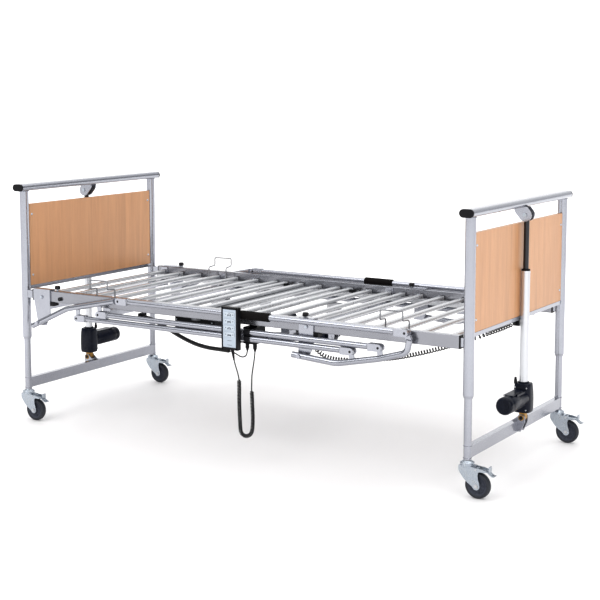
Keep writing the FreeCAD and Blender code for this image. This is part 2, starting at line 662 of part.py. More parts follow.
def head_upright(x0, z0):
    bars = [(x0 + dx, z0 + dz) for dx, dz in COT_BARS.values()]
    points = [(x0 - 36, z0 - 17), (x0 + 168, z0 + 78), (bars[2][0] - 26, bars[2][1] - 3)]
    feet = [(bars[0][0] - 2, z0 + 92), (bars[1][0] - 2, z0 + 118), (bars[2][0] - 30, bars[2][1] - 3)]
    return upright(points, [120.0], list(zip(feet, bars)), (x0, z0))


def foot_upright(x0, z0):
    bars = [(x0 + dx, z0 + dz) for dx, dz in COT_BARS.values()]
    points = [(x0 - 36, z0 + 2), (x0 + 164, z0 - 12), (x0 + 352, z0 + 27), (x0 + 470, z0 + 62),
              (bars[2][0] + 15, bars[2][1] - 26)]
    feet = [(bars[0][0] + 2, z0 + 2), (bars[1][0] + 4, z0 + 28), (bars[2][0] + 15, bars[2][1] - 30)]
    return upright(points, [160.0, 200.0, 34.0], list(zip(feet, bars)), (x0, z0))


def bar_end(x0, z0, way):
    """A moulded bar end: a fork whose cheeks take a lug between them, closed to a socket for the bar."""
    body = stadium_xz(x0, z0, x0 + way * 50, z0, BAR_END_R, COT_Y - 15, 30.0)
    body = body.cut(box(min(x0 - way * 20, x0 + way * 20), COT_Y - 3.5, z0 - 20,
                        max(x0 - way * 20, x0 + way * 20), COT_Y + 3.5, z0 + 20))
    socket = box(min(x0 + way * 45, x0 + way * 70), COT_Y - 20, z0 - 20,
                 max(x0 + way * 45, x0 + way * 70), COT_Y + 20, z0 + 20)
    return body.cut(socket)


def cot_bar(x0, z0):
    """A guard bar: a thin tube with a fork end and a pin at each of its two pivots."""
    pieces = []
    for pivot_x, way in ((x0, 1), (x0 + COT_LINK, -1)):
        pieces.append(bar_end(pivot_x, z0, way))
        pieces.append(cylinder(COT_PIN_R, V(pivot_x, COT_Y - 15, z0), Y, 30.0))
    tube = ring(COT_TUBE_R - 0.5, COT_TUBE_R - 2.0, V(x0 + 35, COT_Y, z0), X, COT_LINK - 70)
    return fuse(tube, *pieces)


def clamp(x0, z0, wide):
    """A clamp plate hooked over the side rail, with the pivot stud of an upright and its screw."""
    plate_y = COT_Y - 25.0
    left = x0 + wide[0]
    right = x0 + wide[1]
    plate = plate_xz([(left, RAIL_TOP + 1), (right, RAIL_TOP + 1), (right, z0 + 42), (x0 + 24, z0 - 14),
                      (x0 - 22, z0 - 14), (left, z0 + 110)], plate_y, 6.0)
    hook = box(left, POST_Y - RAIL_WIDTH / 2, RAIL_TOP + 0.3, right, plate_y + 6, RAIL_TOP + 5)
    lower = box(left + 10, POST_Y, RAIL_TOP - RAIL_HEIGHT - 6, right, plate_y + 1, RAIL_TOP - RAIL_HEIGHT - 0.5)
    stud = cylinder(COT_PIVOT_R, V(x0, plate_y + 5, z0), Y, COT_Y + 15 - plate_y - 5)
    nut = cylinder(9.0, V(x0, COT_Y + 13.5, z0), Y, 6.0)
    boss = cylinder(10.0, V(x0, plate_y + 6, z0), Y, 5.0)
    screw = cylinder(8.0, V((left + right) / 2, plate_y + 6, RAIL_TOP - 30), Y, 4.0)
    whole = fuse(plate, hook, lower, stud, nut, boss, screw)
    for knob_x in KNOB_X:
        whole = whole.cut(cylinder(KNOB_STEM_R + RUN_FIT, V(knob_x, POST_Y, RAIL_TOP), Z, 9.0))
    return whole


def clamp_jaw(x0, wide):
    """The black jaw block under the rail at the clamp's inner edge."""
    right = x0 + wide[1]
    return box(right + 0.5, POST_Y - 13, RAIL_TOP - RAIL_HEIGHT - 16, right + 22, COT_Y - 19, RAIL_TOP - RAIL_HEIGHT - 0.5)


def make_cot_sides():
    head_wide = (-46.0, 50.0)
    foot_wide = (-18.0, 48.0)
    for name, side in (("near", -1), ("far", 1)):
        x0 = COT_HEAD_X + (COT_FAR_SHIFT_X if side > 0 else 0.0)
        z0 = COT_PIVOT_Z + (COT_FAR_SHIFT_Z if side > 0 else 0.0)
        x1 = x0 + COT_LINK
        place = (lambda s: s) if side > 0 else mirror_y
        keep(name + "_head_upright", place(head_upright(x0, z0)))
        keep(name + "_foot_upright", place(foot_upright(x1, z0)))
        for level, (dx, dz) in COT_BARS.items():
            keep(name + "_" + level + "_bar", place(cot_bar(x0 + dx, z0 + dz)))
        keep("cot_side_clamps", place(clamp(x0, z0, head_wide)), place(clamp(x1, z0, foot_wide)))
        keep("tube_end_caps", place(clamp_jaw(x0, head_wide)), place(clamp_jaw(x1, foot_wide)))


def locking_knob(x0, side):
    """A black star knob on a screw that locks the rail."""
    foot = V(x0, side * POST_Y, RAIL_TOP)
    stem = cylinder(KNOB_STEM_R, foot, Z, 8.0)
    head = cylinder(12.0, foot + V(0, 0, 7), Z, 14.0)
    for i in range(5):
        turn = math.radians(72.0 * i)
        notch = V(14.5 * math.cos(turn), 14.5 * math.sin(turn), 0)
        head = head.cut(cylinder(4.5, foot + notch + V(0, 0, 6), Z, 20.0))
    return fuse(stem, head)


def make_knobs():
    for x0 in KNOB_X:
        for side in (-1, 1):
            keep("locking_knobs", locking_knob(x0, side))


# ---------------------------------------------------------------- handset, sockets and cords

HANDSET_X = 82.5
HANDSET_WIDTH = 79.0
HANDSET_BOTTOM = 460.0
HANDSET_TOP = 634.0
HANDSET_BACK = -517.0
HANDSET_FRONT = -541.0
KEY_ROWS = [604.0, 577.0, 550.0, 523.0]
KEY_WIDTH = 46.0
KEY_HEIGHT = 18.0
SOCKET_BOTTOM = 478.0
LEAD_R = 2.6
HANDSET_COIL_R = 8.75
HEAD_COIL_R = 9.0
FOOT_COIL_R = 10.0

HANDSET_LEAD = [V(96, -529, 419), V(102, -529.5, 400), V(110, -530, 380), V(117, -530, 360), V(121, -530, 341)]
HANDSET_COIL = [V(121, -530, 341), V(122, -530.5, 300), V(121, -530, 250), V(122, -529, 200), V(123.5, -527.5, 154),
                V(124, -525.5, 126), V(132, -522.5, 113), V(146, -518, 107.5), V(160, -513, 113), V(168.5, -509, 126),
                V(170, -505.5, 154), V(168, -502, 200), V(164, -500, 240), V(163, -499, 270), V(160, -498, 294)]
HANDSET_TAIL = [V(160, -498, 294), V(158, -494, 322), V(154, -487, 354), V(153, -476, 386), V(151, -464, 416),
                V(150, -457, 446)]
HEAD_LEAD = [V(112, -456, 446), V(109, -455, 431), V(98, -452, 419), V(80, -449, 414), V(60, -446, 419),
             V(38, -444, 428), V(16, -442, 432)]
HEAD_COIL = [V(16, -442, 432), V(-30, -441, 433), V(-90, -441, 433), V(-150, -441, 440), V(-206, -441, 455),
             V(-258, -440, 473), V(-310, -438, 494), V(-358, -435, 512), V(-404, -431, 525), V(-440, -428, 530)]
FOOT_COIL = [V(325, -352, 500), V(351, -352, 488), V(375, -352, 463), V(407, -351, 440), V(454, -350, 430),
             V(526, -350, 434), V(610, -350, 444), V(700, -350, 458), V(790, -350, 480), V(878, -349, 507),
             V(956, -346, 533), V(1018, -338, 556), V(1058, -304, 572), V(1069, -232, 576), V(1069, -140, 574),
             V(1068, -50, 573), V(1070, 36, 577)]


def cord_tube(points, radius, name):
    """A cord's solid: straight runs with an arc at each point as large as its two runs allow."""
    radii = []
    for i in range(1, len(points) - 1):
        into = points[i] - points[i - 1]
        out = points[i + 1] - points[i]
        shorter = min(into.Length, out.Length)
        radii.append(0.45 * shorter / math.tan(into.getAngle(out) / 2.0))
    solid = tube_along(points, radii, radius)
    length = rounded_route(points, radii).Length
    ratio = solid.Volume / (math.pi * radius * radius * length)
    print(name, "length", round(length, 1), "volume ratio", round(ratio, 4), "radii", [round(r) for r in radii])
    return solid


def handset_shell():
    """The handset's casing with a raised rim, key pockets and a tapered strain relief."""
    half = HANDSET_WIDTH / 2.0
    body = box(HANDSET_X - half, HANDSET_FRONT, HANDSET_BOTTOM, HANDSET_X + half, HANDSET_BACK, HANDSET_TOP)
    corners = [e for e in body.Edges if abs(e.tangentAt(e.FirstParameter).y) > 0.9]
    body = body.makeFillet(9.0, corners)
    face = box(HANDSET_X - half + 6, HANDSET_FRONT - 1, HANDSET_BOTTOM + 7,
               HANDSET_X + half - 6, HANDSET_FRONT + 1.2, HANDSET_TOP - 7)
    body = body.cut(face)
    for z0 in KEY_ROWS:
        pocket = box(HANDSET_X - KEY_WIDTH / 2 - 0.8, HANDSET_FRONT - 1, z0 - KEY_HEIGHT / 2 - 0.6,
                     HANDSET_X + KEY_WIDTH / 2 + 0.8, HANDSET_FRONT + 7, z0 + KEY_HEIGHT / 2 + 0.6)
        body = body.cut(pocket)
    return body


def strain_relief():
    start = V(89, -529, HANDSET_BOTTOM)
    end = HANDSET_LEAD[0]
    return Part.makeCone(7.0, 3.4, (end - start).Length, start, end - start)


def rocker_key(z0):
    """One key that rocks about the round bead at the back of its rib."""
    y0 = HANDSET_FRONT - 1.3
    key = box(HANDSET_X - KEY_WIDTH / 2, y0, z0 - KEY_HEIGHT / 2, HANDSET_X + KEY_WIDTH / 2, y0 + 3.6,
              z0 + KEY_HEIGHT / 2)
    corners = [e for e in key.Edges if abs(e.tangentAt(e.FirstParameter).y) > 0.9]
    key = key.makeFillet(3.0, corners)
    rib = box(HANDSET_X - 1.5, y0 + 3, z0 - 7, HANDSET_X + 1.5, HANDSET_FRONT + 5.1, z0 + 7)
    bead = cylinder(1.5, V(HANDSET_X, HANDSET_FRONT + 5.1, z0 - 7), Z, 14.0)
    return fuse(key, rib, bead)


def sockets():
    """The junction box under the near rail, the control box by it and the lift cord's clips."""
    junction = box(100, -472, SOCKET_BOTTOM, 160, -392, 545)
    upright = [e for e in junction.Edges if abs(e.tangentAt(e.FirstParameter).z) > 0.9]
    junction = junction.makeFillet(5.0, upright)
    plugs = []
    for tip in (HEAD_LEAD[0], HANDSET_TAIL[-1]):
        plugs.append(cylinder(8.0, V(tip.x, tip.y, SOCKET_BOTTOM - 20), Z, 20.0))
        plugs.append(Part.makeCone(3.6, 7.0, SOCKET_BOTTOM - 20 - tip.z, tip, Z))
    hanger = box(112, -441, 540, 148, -437, 600)
    control = box(-300, -402, 478, -92, -306, 541)
    seam = [e for e in control.Edges if abs(e.tangentAt(e.FirstParameter).z) > 0.9]
    control = control.makeFillet(8.0, seam)
    head_clip = box(-466, -441, 517, -440, -413, 544)
    foot_plug = cylinder(11.0, V(300, -352, 527), X, 14.0)
    foot_elbow = box(303, -363, 488, 325, -341, 520)
    tail_clip = box(1058, FOOT_COIL[-1].y, 565, 1086, FOOT_COIL[-1].y + 20, 609)
    return [fuse(junction, hanger, *plugs), control, head_clip, fuse(foot_plug, foot_elbow), tail_clip]


def holder():
    """A strap that reaches out below the guard bars and stands up behind the handset."""
    arm = box(70, HANDSET_BACK, 480, 95, -472, 484)
    leg = box(70, HANDSET_BACK, 466, 95, HANDSET_BACK + 2, 600)
    return [fuse(arm, leg, box(70, -474, 480, 100, -462, 484))]


def make_handset():
    keep("handset_shell", handset_shell(), strain_relief(), *holder())
    for i, z0 in enumerate(KEY_ROWS):
        keep("handset_key_" + str(i + 1), rocker_key(z0))
    keep("control_box", *sockets())
    keep("handset_coil", cord_tube(HANDSET_COIL, HANDSET_COIL_R, "handset coil"))
    keep("handset_leads", cord_tube(HANDSET_LEAD, LEAD_R, "handset lead"),
         cord_tube(HANDSET_TAIL, LEAD_R, "handset tail"))
    keep("head_cord_coil", cord_tube(HEAD_COIL, HEAD_COIL_R, "head coil"))
    keep("head_cord_lead", cord_tube(HEAD_LEAD, LEAD_R, "head lead"))
    keep("foot_cord_coil", cord_tube(FOOT_COIL, FOOT_COIL_R, "foot coil"))


def export_all():
    """Move every node so that the bed's outline is centred on the origin, and write its STEP file."""
    os.makedirs("parts", exist_ok=True)
    outline = FreeCAD.BoundBox()
    for name, solids in sorted(parts.items()):
        shape = solids[0] if len(solids) == 1 else Part.makeCompound(solids)
        shape = shape.translated(V(-CENTRE_X, -CENTRE_Y, 0))
        shape.exportStep("parts/" + name + ".step")
        if "coil" not in name and "lead" not in name:
            outline.add(shape.BoundBox)
        if not shape.isValid():
            print("invalid:", name)
    print("nodes", len(parts), "outline", outline)


make_ends()
make_castors()
make_platform()
make_cot_sides()
make_knobs()
make_handset()
export_all()
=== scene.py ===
import bpy
import bmesh
import math
from mathutils import Matrix, Vector


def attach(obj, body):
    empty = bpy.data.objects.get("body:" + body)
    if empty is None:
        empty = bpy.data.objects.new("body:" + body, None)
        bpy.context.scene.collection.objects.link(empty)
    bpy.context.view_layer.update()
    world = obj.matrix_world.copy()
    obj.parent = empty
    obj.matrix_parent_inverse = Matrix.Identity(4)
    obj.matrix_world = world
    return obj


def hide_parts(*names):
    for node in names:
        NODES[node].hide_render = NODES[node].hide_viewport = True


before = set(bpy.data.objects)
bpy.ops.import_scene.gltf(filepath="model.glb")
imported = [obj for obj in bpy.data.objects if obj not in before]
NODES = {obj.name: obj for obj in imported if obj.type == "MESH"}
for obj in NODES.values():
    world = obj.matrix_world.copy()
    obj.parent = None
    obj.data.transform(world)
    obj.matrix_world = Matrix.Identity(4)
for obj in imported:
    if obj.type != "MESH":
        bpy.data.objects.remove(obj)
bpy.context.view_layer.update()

# The design coordinates of the bed, in millimetres, are moved to the row frame, in metres.
CENTRE_X = 23.0
CENTRE_Y = -13.4
MM = 0.001


def row(x, y, z):
    """A point of the bed's drawing, in millimetres, in the row frame in metres."""
    return Vector(((x - CENTRE_X) * MM, (y - CENTRE_Y) * MM, z * MM))


# ---- materials

def new_material(name, colour, roughness=0.5, metallic=0.0, **sockets):
    """A Principled material with its uniform values on the shader's own sockets."""
    mat = bpy.data.materials.new(name)
    mat.use_nodes = True
    shader = mat.node_tree.nodes["Principled BSDF"]
    shader.inputs["Base Color"].default_value = (*colour, 1.0)
    shader.inputs["Roughness"].default_value = roughness
    shader.inputs["Metallic"].default_value = metallic
    for key, value in sockets.items():
        shader.inputs[key.replace("_", " ")].default_value = value
    return mat


class Graph:
    """Small helper that adds and links the nodes of one material, or of the world."""

    def __init__(self, owner):
        self.tree = owner.node_tree
        self.shader = self.tree.nodes.get("Principled BSDF")
        self.coords = self.tree.nodes.new("ShaderNodeTexCoord").outputs["Object"]

    def node(self, kind, links=None, **values):
        made = self.tree.nodes.new("ShaderNode" + kind)
        for key, value in values.items():
            if hasattr(made, key):
                setattr(made, key, value)
            else:
                made.inputs[key.replace("_", " ")].default_value = value
        for socket, source in (links or {}).items():
            self.tree.links.new(source, made.inputs[socket])
        return made

    def stretched(self, sx, sy, sz):
        return self.node("Mapping", {"Vector": self.coords}, Scale=(sx, sy, sz)).outputs[0]

    def noise(self, scale, detail=2.0, rough=0.5, vector=None, distortion=0.0):
        return self.node("TexNoise", {"Vector": vector or self.coords}, Scale=scale, Detail=detail,
                         Roughness=rough, Distortion=distortion).outputs["Fac"]

    def cells(self, scale, vector=None):
        return self.node("TexVoronoi", {"Vector": vector or self.coords}, Scale=scale).outputs["Distance"]

    def ramp(self, source, stops):
        made = self.node("ValToRGB", {"Fac": source})
        elements = made.color_ramp.elements
        while len(elements) < len(stops):
            elements.new(0.5)
        for element, (place, colour) in zip(elements, stops):
            element.position = place
            element.color = (*colour, 1.0)
        return made.outputs["Color"]

    def spread(self, source, low, high, from_low=0.3, from_high=0.7):
        made = self.node("MapRange", {"Value": source})
        for i, value in enumerate((from_low, from_high, low, high)):
            made.inputs[i + 1].default_value = value
        return made.outputs[0]

    def mix(self, factor, a, b):
        made = self.node("Mix", data_type="RGBA")
        for socket, value in ((0, factor), (6, a), (7, b)):
            if isinstance(value, bpy.types.NodeSocket):
                self.tree.links.new(value, made.inputs[socket])
            else:
                made.inputs[socket].default_value = value if socket == 0 else (*value, 1.0)
        return made.outputs[2]

    def add(self, a, b, operation="ADD"):
        made = self.node("Math", operation=operation)
        for i, value in enumerate((a, b)):
            if isinstance(value, bpy.types.NodeSocket):
                self.tree.links.new(value, made.inputs[i])
            else:
                made.inputs[i].default_value = value
        return made.outputs[0]

    def colour(self, source):
        self.tree.links.new(source, self.shader.inputs["Base Color"])

    def roughness(self, source):
        self.tree.links.new(source, self.shader.inputs["Roughness"])

    def bump(self, height, distance, strength=1.0):
        made = self.node("Bump", {"Height": height}, Strength=strength, Distance=distance)
        self.tree.links.new(made.outputs[0], self.shader.inputs["Normal"])


def tinted(colour, factor):
    return tuple(min(1.0, c * factor) for c in colour)


def painted(name, colour, roughness, peel=900.0, depth=0.000003, metallic=0.0, spread=0.04, coat=0.0):
    """Powder coat: fine orange peel, faint cloudy tone, a little dust in the gloss."""
    mat = new_material(name, colour, roughness, metallic, Coat_Weight=coat, Coat_Roughness=0.18)
    g = Graph(mat)
    cloud = g.noise(9.0, 4.0, 0.6)
    fleck = g.noise(2400.0, 1.0)
    tone = g.ramp(cloud, [(0.3, tinted(colour, 1.0 - spread)), (0.7, tinted(colour, 1.0 + spread * 0.5))])
    g.colour(g.mix(g.spread(fleck, 0.0, 0.05, 0.55, 0.7), tone, tinted(colour, 0.78)))
    g.roughness(g.spread(g.noise(14.0, 3.0, 0.55), roughness - 0.03, roughness + 0.04))
    g.bump(g.noise(peel, 2.0, 0.55), depth)
    return mat


def beech(name, colour):
    """Flat-cut beech veneer, grain upright: soft bands, fine fibres and short dark rays."""
    mat = new_material(name, colour, 0.42, Coat_Weight=0.25, Coat_Roughness=0.25)
    g = Graph(mat)
    along = g.stretched(1.0, 1.0, 0.05)
    bands = g.noise(34.0, 3.0, 0.5, along, 0.6)
    leaf = g.noise(5.0, 2.0, 0.5, g.stretched(1.0, 1.0, 0.12))
    fibre = g.noise(620.0, 3.0, 0.7, g.stretched(1.0, 1.0, 0.02))
    ray = g.cells(360.0, g.stretched(1.0, 1.0, 0.16))
    base = g.ramp(bands, [(0.28, tinted(colour, 0.86)), (0.5, colour), (0.72, tinted(colour, 1.1))])
    base = g.mix(g.spread(leaf, 0.0, 0.35), base, (colour[0] * 0.93, colour[1] * 0.84, colour[2] * 0.74))
    base = g.mix(g.spread(fibre, 0.0, 0.30, 0.42, 0.66), base, tinted(colour, 0.72))
    base = g.mix(g.spread(ray, 0.45, 0.0, 0.05, 0.17), base,
                 (colour[0] * 0.66, colour[1] * 0.52, colour[2] * 0.4))
    g.colour(base)
    g.roughness(g.spread(fibre, 0.36, 0.5))
    g.bump(g.add(fibre, ray), 0.00003, 0.6)
    return mat


def moulded(name, colour, roughness, grain=900.0, depth=0.00005, spread=0.25, coat=0.0, gloss=0.2):
    """Moulded plastic with a fine spark-eroded grain and slight uneven gloss."""
    mat = new_material(name, colour, roughness, Coat_Weight=coat, Coat_Roughness=0.3,
                       Specular_IOR_Level=gloss)
    g = Graph(mat)
    grainy = g.noise(grain, 3.0, 0.6)
    cloud = g.noise(18.0, 3.0)
    g.colour(g.ramp(cloud, [(0.3, tinted(colour, 1.0 - spread)), (0.7, tinted(colour, 1.0 + spread))]))
    g.roughness(g.spread(g.add(cloud, g.add(grainy, 0.5, "MULTIPLY")), roughness - 0.08, roughness + 0.1,
                         0.55, 0.95))
    g.bump(grainy, depth)
    return mat


def zinc_plate(name, colour, roughness=0.3, metallic=0.9):
    """Bright zinc plating: bluish, mildly blotched, with faint rolling lines."""
    mat = new_material(name, colour, roughness, metallic)
    g = Graph(mat)
    blotch = g.noise(60.0, 4.0, 0.6)
    lines = g.noise(260.0, 2.0, 0.5, g.stretched(1.0, 1.0, 0.06))
    warm = (colour[0] * 1.02, colour[1] * 0.99, colour[2] * 0.94)
    g.colour(g.ramp(blotch, [(0.3, tinted(colour, 0.94)), (0.52, colour), (0.7, warm)]))
    g.roughness(g.spread(g.add(blotch, lines), roughness - 0.04, roughness + 0.06, 0.8, 1.2))
    g.bump(lines, 0.00002, 0.7)
    return mat


def drawn_tube(name, colour, roughness):
    """Drawn aluminium tube: fine even lines along its length, no blotches."""
    mat = new_material(name, colour, roughness, 0.85)
    g = Graph(mat)
    lines = g.noise(900.0, 2.0, 0.6, g.stretched(1.0, 1.0, 0.01))
    g.colour(g.ramp(lines, [(0.3, tinted(colour, 0.95)), (0.7, tinted(colour, 1.03))]))
    g.roughness(g.spread(lines, roughness - 0.03, roughness + 0.05))
    g.bump(lines, 0.000008, 0.5)
    return mat


def rubber(name, colour, roughness, scale=420.0, depth=0.00006, dust=0.35):
    """Rubber with fine pitting and a pale dusty bloom."""
    mat = new_material(name, colour, roughness)
    g = Graph(mat)
    pits = g.noise(scale, 3.0, 0.65)
    bloom = g.noise(28.0, 5.0, 0.6)
    pale = tuple(c * 0.7 + 0.09 for c in colour)
    g.colour(g.mix(g.spread(bloom, 0.0, dust, 0.42, 0.72), g.ramp(pits, [
        (0.3, tinted(colour, 0.75)), (0.7, tinted(colour, 1.25))]), pale))
    g.roughness(g.spread(bloom, roughness - 0.07, roughness + 0.1))
    g.bump(pits, depth)
    return mat


def foam(name, colour):
    """Closed-cell foam sleeve: open pores with painted shade in them, and a dry matte skin."""
    mat = new_material(name, colour, 0.85, Specular_IOR_Level=0.1)
    g = Graph(mat)
    pores = g.cells(520.0)
    # Painted shade: each pore is darkest at its centre, where the bump dents it, and the skin between pores
    # is lighter.
    g.colour(g.ramp(pores, [(0.0, tinted(colour, 0.3)), (0.35, colour), (0.8, tinted(colour, 1.7))]))
    g.bump(pores, 0.00025, 0.8)
    return mat


COAT = painted("powder_coat_silver", (0.37, 0.38, 0.42), 0.2, depth=0.0000015, metallic=0.8, coat=0.15)
RAIL_COAT = painted("powder_coat_rail", (0.275, 0.28, 0.305), 0.22, depth=0.0000015, metallic=0.8, coat=0.15)
SLAT = painted("slat_silver", (0.50, 0.51, 0.53), 0.28, metallic=0.7, coat=0.2)
FORK_GREY = painted("moulded_fork_grey", (0.30, 0.31, 0.34), 0.45, peel=900.0, depth=0.00006)
WIRE = painted("wire_grey", (0.22, 0.225, 0.24), 0.34, metallic=0.5, coat=0.3)
BEECH = beech("beech_veneer", (0.56, 0.295, 0.148))
BLACK = moulded("black_moulded", (0.008, 0.008, 0.010), 0.42)
BLACK_GLOSS = moulded("black_satin", (0.007, 0.007, 0.009), 0.28, coat=0.2)
NAVY = moulded("motor_blue_black", (0.006, 0.008, 0.017), 0.3, grain=1300.0, depth=0.00003)
GREY_CAP = moulded("hub_grey", (0.055, 0.06, 0.078), 0.42, spread=0.12)
FACE_GREY = moulded("handset_face", (0.43, 0.49, 0.56), 0.42, spread=0.06, gloss=0.5)
KEY_GREY = moulded("handset_key", (0.50, 0.56, 0.62), 0.38, spread=0.06, gloss=0.5)
PLUG = moulded("slat_plug_pale", (0.50, 0.51, 0.53), 0.4, spread=0.05, gloss=0.5)
GLYPH = moulded("glyph_dark", (0.03, 0.035, 0.05), 0.5)
ROD_BLACK = painted("black_rod_coat", (0.007, 0.008, 0.012), 0.18, peel=1500.0, depth=0.0000015, spread=0.1)
ALU = drawn_tube("brushed_aluminium", (0.60, 0.61, 0.635), 0.3)
ZINC = zinc_plate("zinc_blue", (0.42, 0.46, 0.51), 0.24)
STEEL = zinc_plate("screw_steel", (0.55, 0.56, 0.58), 0.3)
BRASS = zinc_plate("bush_brass", (0.40, 0.225, 0.065), 0.32, 0.85)
TYRE = rubber("tyre_rubber", (0.018, 0.021, 0.029), 0.55, dust=0.16)
CORD = rubber("cord_sheath", (0.008, 0.008, 0.009), 0.4, 900.0, 0.00003, 0.05)
FOAM = foam("foam_grip", (0.008, 0.007, 0.007))


def linked(name, data):
    """A new object with its data, in the scene."""
    obj = bpy.data.objects.new(name, data)
    bpy.context.scene.collection.objects.link(obj)
    return obj


# ---- mesh kit

SHARP_FROM = math.radians(38.0)
BEVEL_FROM = math.radians(30.0)


def lathe(profile, segments=40, closed=False):
    """A solid of revolution about +Z from (radius, height) pairs; a radius of 0 closes an end to a point."""
    verts = []
    faces = []
    rings = []
    for r, h in profile:
        if r < 1e-9:
            rings.append([len(verts)])
            verts.append(Vector((0, 0, h)))
            continue
        rings.append(list(range(len(verts), len(verts) + segments)))
        for i in range(segments):
            a = 2 * math.pi * i / segments
            verts.append(Vector((r * math.cos(a), r * math.sin(a), h)))
    pairs = list(zip(rings, rings[1:]))
    if closed:
        pairs.append((rings[-1], rings[0]))
    for low, high in pairs:
        for i in range(segments):
            j = (i + 1) % segments
            if len(low) == 1 and len(high) > 1:
                faces.append((low[0], high[j], high[i]))
            elif len(high) == 1 and len(low) > 1:
                faces.append((low[i], low[j], high[0]))
            elif len(low) > 1:
                faces.append((low[i], low[j], high[j], high[i]))
    return verts, faces


def ring(profile, segments=40):
    """A hollow solid of revolution from a closed profile."""
    return lathe(profile, segments, True)


def moved(geo, matrix):
    verts, faces = geo
    flip = matrix.determinant() < 0
    return [matrix @ v for v in verts], [tuple(reversed(f)) for f in faces] if flip else faces


def shifted(geo, *offset):
    return moved(geo, Matrix.Translation(Vector(offset)))


def aim(geo, start, direction):
    """Put geometry made about +Z at start, pointing along direction."""
    turn = Vector(direction).to_track_quat("Z", "Y").to_matrix().to_4x4()
    return moved(geo, Matrix.Translation(Vector(start)) @ turn)


def from_bmesh(bm):
    bm.verts.ensure_lookup_table()
    geo = [v.co.copy() for v in bm.verts], [tuple(v.index for v in f.verts) for f in bm.faces]
    bm.free()
    return geo


def into_bmesh(geo):
    bm = bmesh.new()
    made = [bm.verts.new(v) for v in geo[0]]
    for face in geo[1]:
        bm.faces.new([made[i] for i in face])
    bm.verts.index_update()
    return bm


def bevelled(geo, width, segments=2):
    """Round every sharp edge."""
    bm = into_bmesh(geo)
    sharp = [e for e in bm.edges if len(e.link_faces) == 2 and e.calc_face_angle(0.0) > BEVEL_FROM]
    bmesh.ops.bevel(bm, geom=sharp, offset=width, offset_type="OFFSET", segments=segments, profile=0.5,
                    affect="EDGES", clamp_overlap=True)
    bm.verts.index_update()
    return from_bmesh(bm)


def block(low, high, width=0.0, segments=2):
    """A box between two corners with rounded edges."""
    x0, y0, z0 = low
    x1, y1, z1 = high
    verts = [Vector((x, y, z)) for z in (z0, z1) for y in (y0, y1) for x in (x0, x1)]
    faces = [(0, 2, 3, 1), (4, 5, 7, 6), (0, 1, 5, 4), (2, 6, 7, 3), (0, 4, 6, 2), (1, 3, 7, 5)]
    geo = verts, faces
    return bevelled(geo, width, segments) if width else geo


def prism(outline, y0, y1, width=0.0, segments=2):
    """A plate whose outline is given in XZ, between two Y values."""
    n = len(outline)
    area = sum(a[0] * b[1] - b[0] * a[1] for a, b in zip(outline, outline[1:] + outline[:1]))
    if area > 0:
        outline = list(reversed(outline))
    verts = [Vector((x, y0, z)) for x, z in outline] + [Vector((x, y1, z)) for x, z in outline]
    faces = [tuple(reversed(range(n))), tuple(range(n, 2 * n))]
    faces += [(i, (i + 1) % n, n + (i + 1) % n, n + i) for i in range(n)]
    return bevelled((verts, faces), width, segments) if width else (verts, faces)


def swept(points, radius, segments, caps=True):
    """A round bar along points."""
    points = [Vector(p) for p in points]
    tangents = []
    for i in range(len(points)):
        a = points[max(i - 1, 0)]
        b = points[min(i + 1, len(points) - 1)]
        tangents.append((b - a).normalized())
    normal = tangents[0].orthogonal().normalized()
    verts = []
    faces = []
    for i, (p, t) in enumerate(zip(points, tangents)):
        if i:
            normal = tangents[i - 1].rotation_difference(t) @ normal
        side = t.cross(normal)
        for k in range(segments):
            a = 2 * math.pi * k / segments
            verts.append(p + (normal * math.cos(a) + side * math.sin(a)) * radius)
    for i in range(len(points) - 1):
        for k in range(segments):
            m = (k + 1) % segments
            faces.append((i * segments + k, i * segments + m, (i + 1) * segments + m, (i + 1) * segments + k))
    if caps:
        faces.append(tuple(reversed(range(segments))))
        faces.append(tuple(range((len(points) - 1) * segments, len(points) * segments)))
    return verts, faces


def piece(name, body, layers, replaces=()):
    """One object from (geometry, material) layers in the row frame, riding on a body."""
    verts = []
    faces = []
    marks = []
    materials = []
    for geo, material in layers:
        if material not in materials:
            materials.append(material)
        start = len(verts)
        verts += geo[0]
        faces += [tuple(i + start for i in f) for f in geo[1]]
        marks += [materials.index(material)] * len(geo[1])
    mesh = bpy.data.meshes.new(name)
    mesh.from_pydata([tuple(v) for v in verts], [], faces)
    for material in materials:
        mesh.materials.append(material)
    mesh.polygons.foreach_set("material_index", marks)
    mesh.polygons.foreach_set("use_smooth", [True] * len(faces))
    mesh.update()
    mesh.set_sharp_from_angle(angle=SHARP_FROM)
    obj = linked(name, mesh)
    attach(obj, body)
    if replaces:
        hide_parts(*replaces)
    return obj


def to_row(geo):
    """Geometry in design millimetres, moved to the row frame in metres."""
    return [row(*v) for v in geo[0]], geo[1]


def in_row(layers, change=None):
    """Every layer of a piece, changed if asked, moved to the row frame."""
    return [(to_row(change(geo) if change else geo), material) for geo, material in layers]


def half_turn(geo):
    return moved(geo, Matrix.Rotation(math.pi, 4, "Z"))


# ---- cords

WIRE_D = 5.2
# Outer radii of the three coils.
HANDSET_COIL_R = 8.75
HEAD_COIL_R = 9.0
FOOT_COIL_R = 10.0
TURN_POINTS = 14
COIL_PITCH = 5.9
STRETCHED_PITCH = 12.5
PULLED_PITCH = 25.0
# Share of the foot cord's length where it is pulled out further.
PULLED_FROM = 0.68

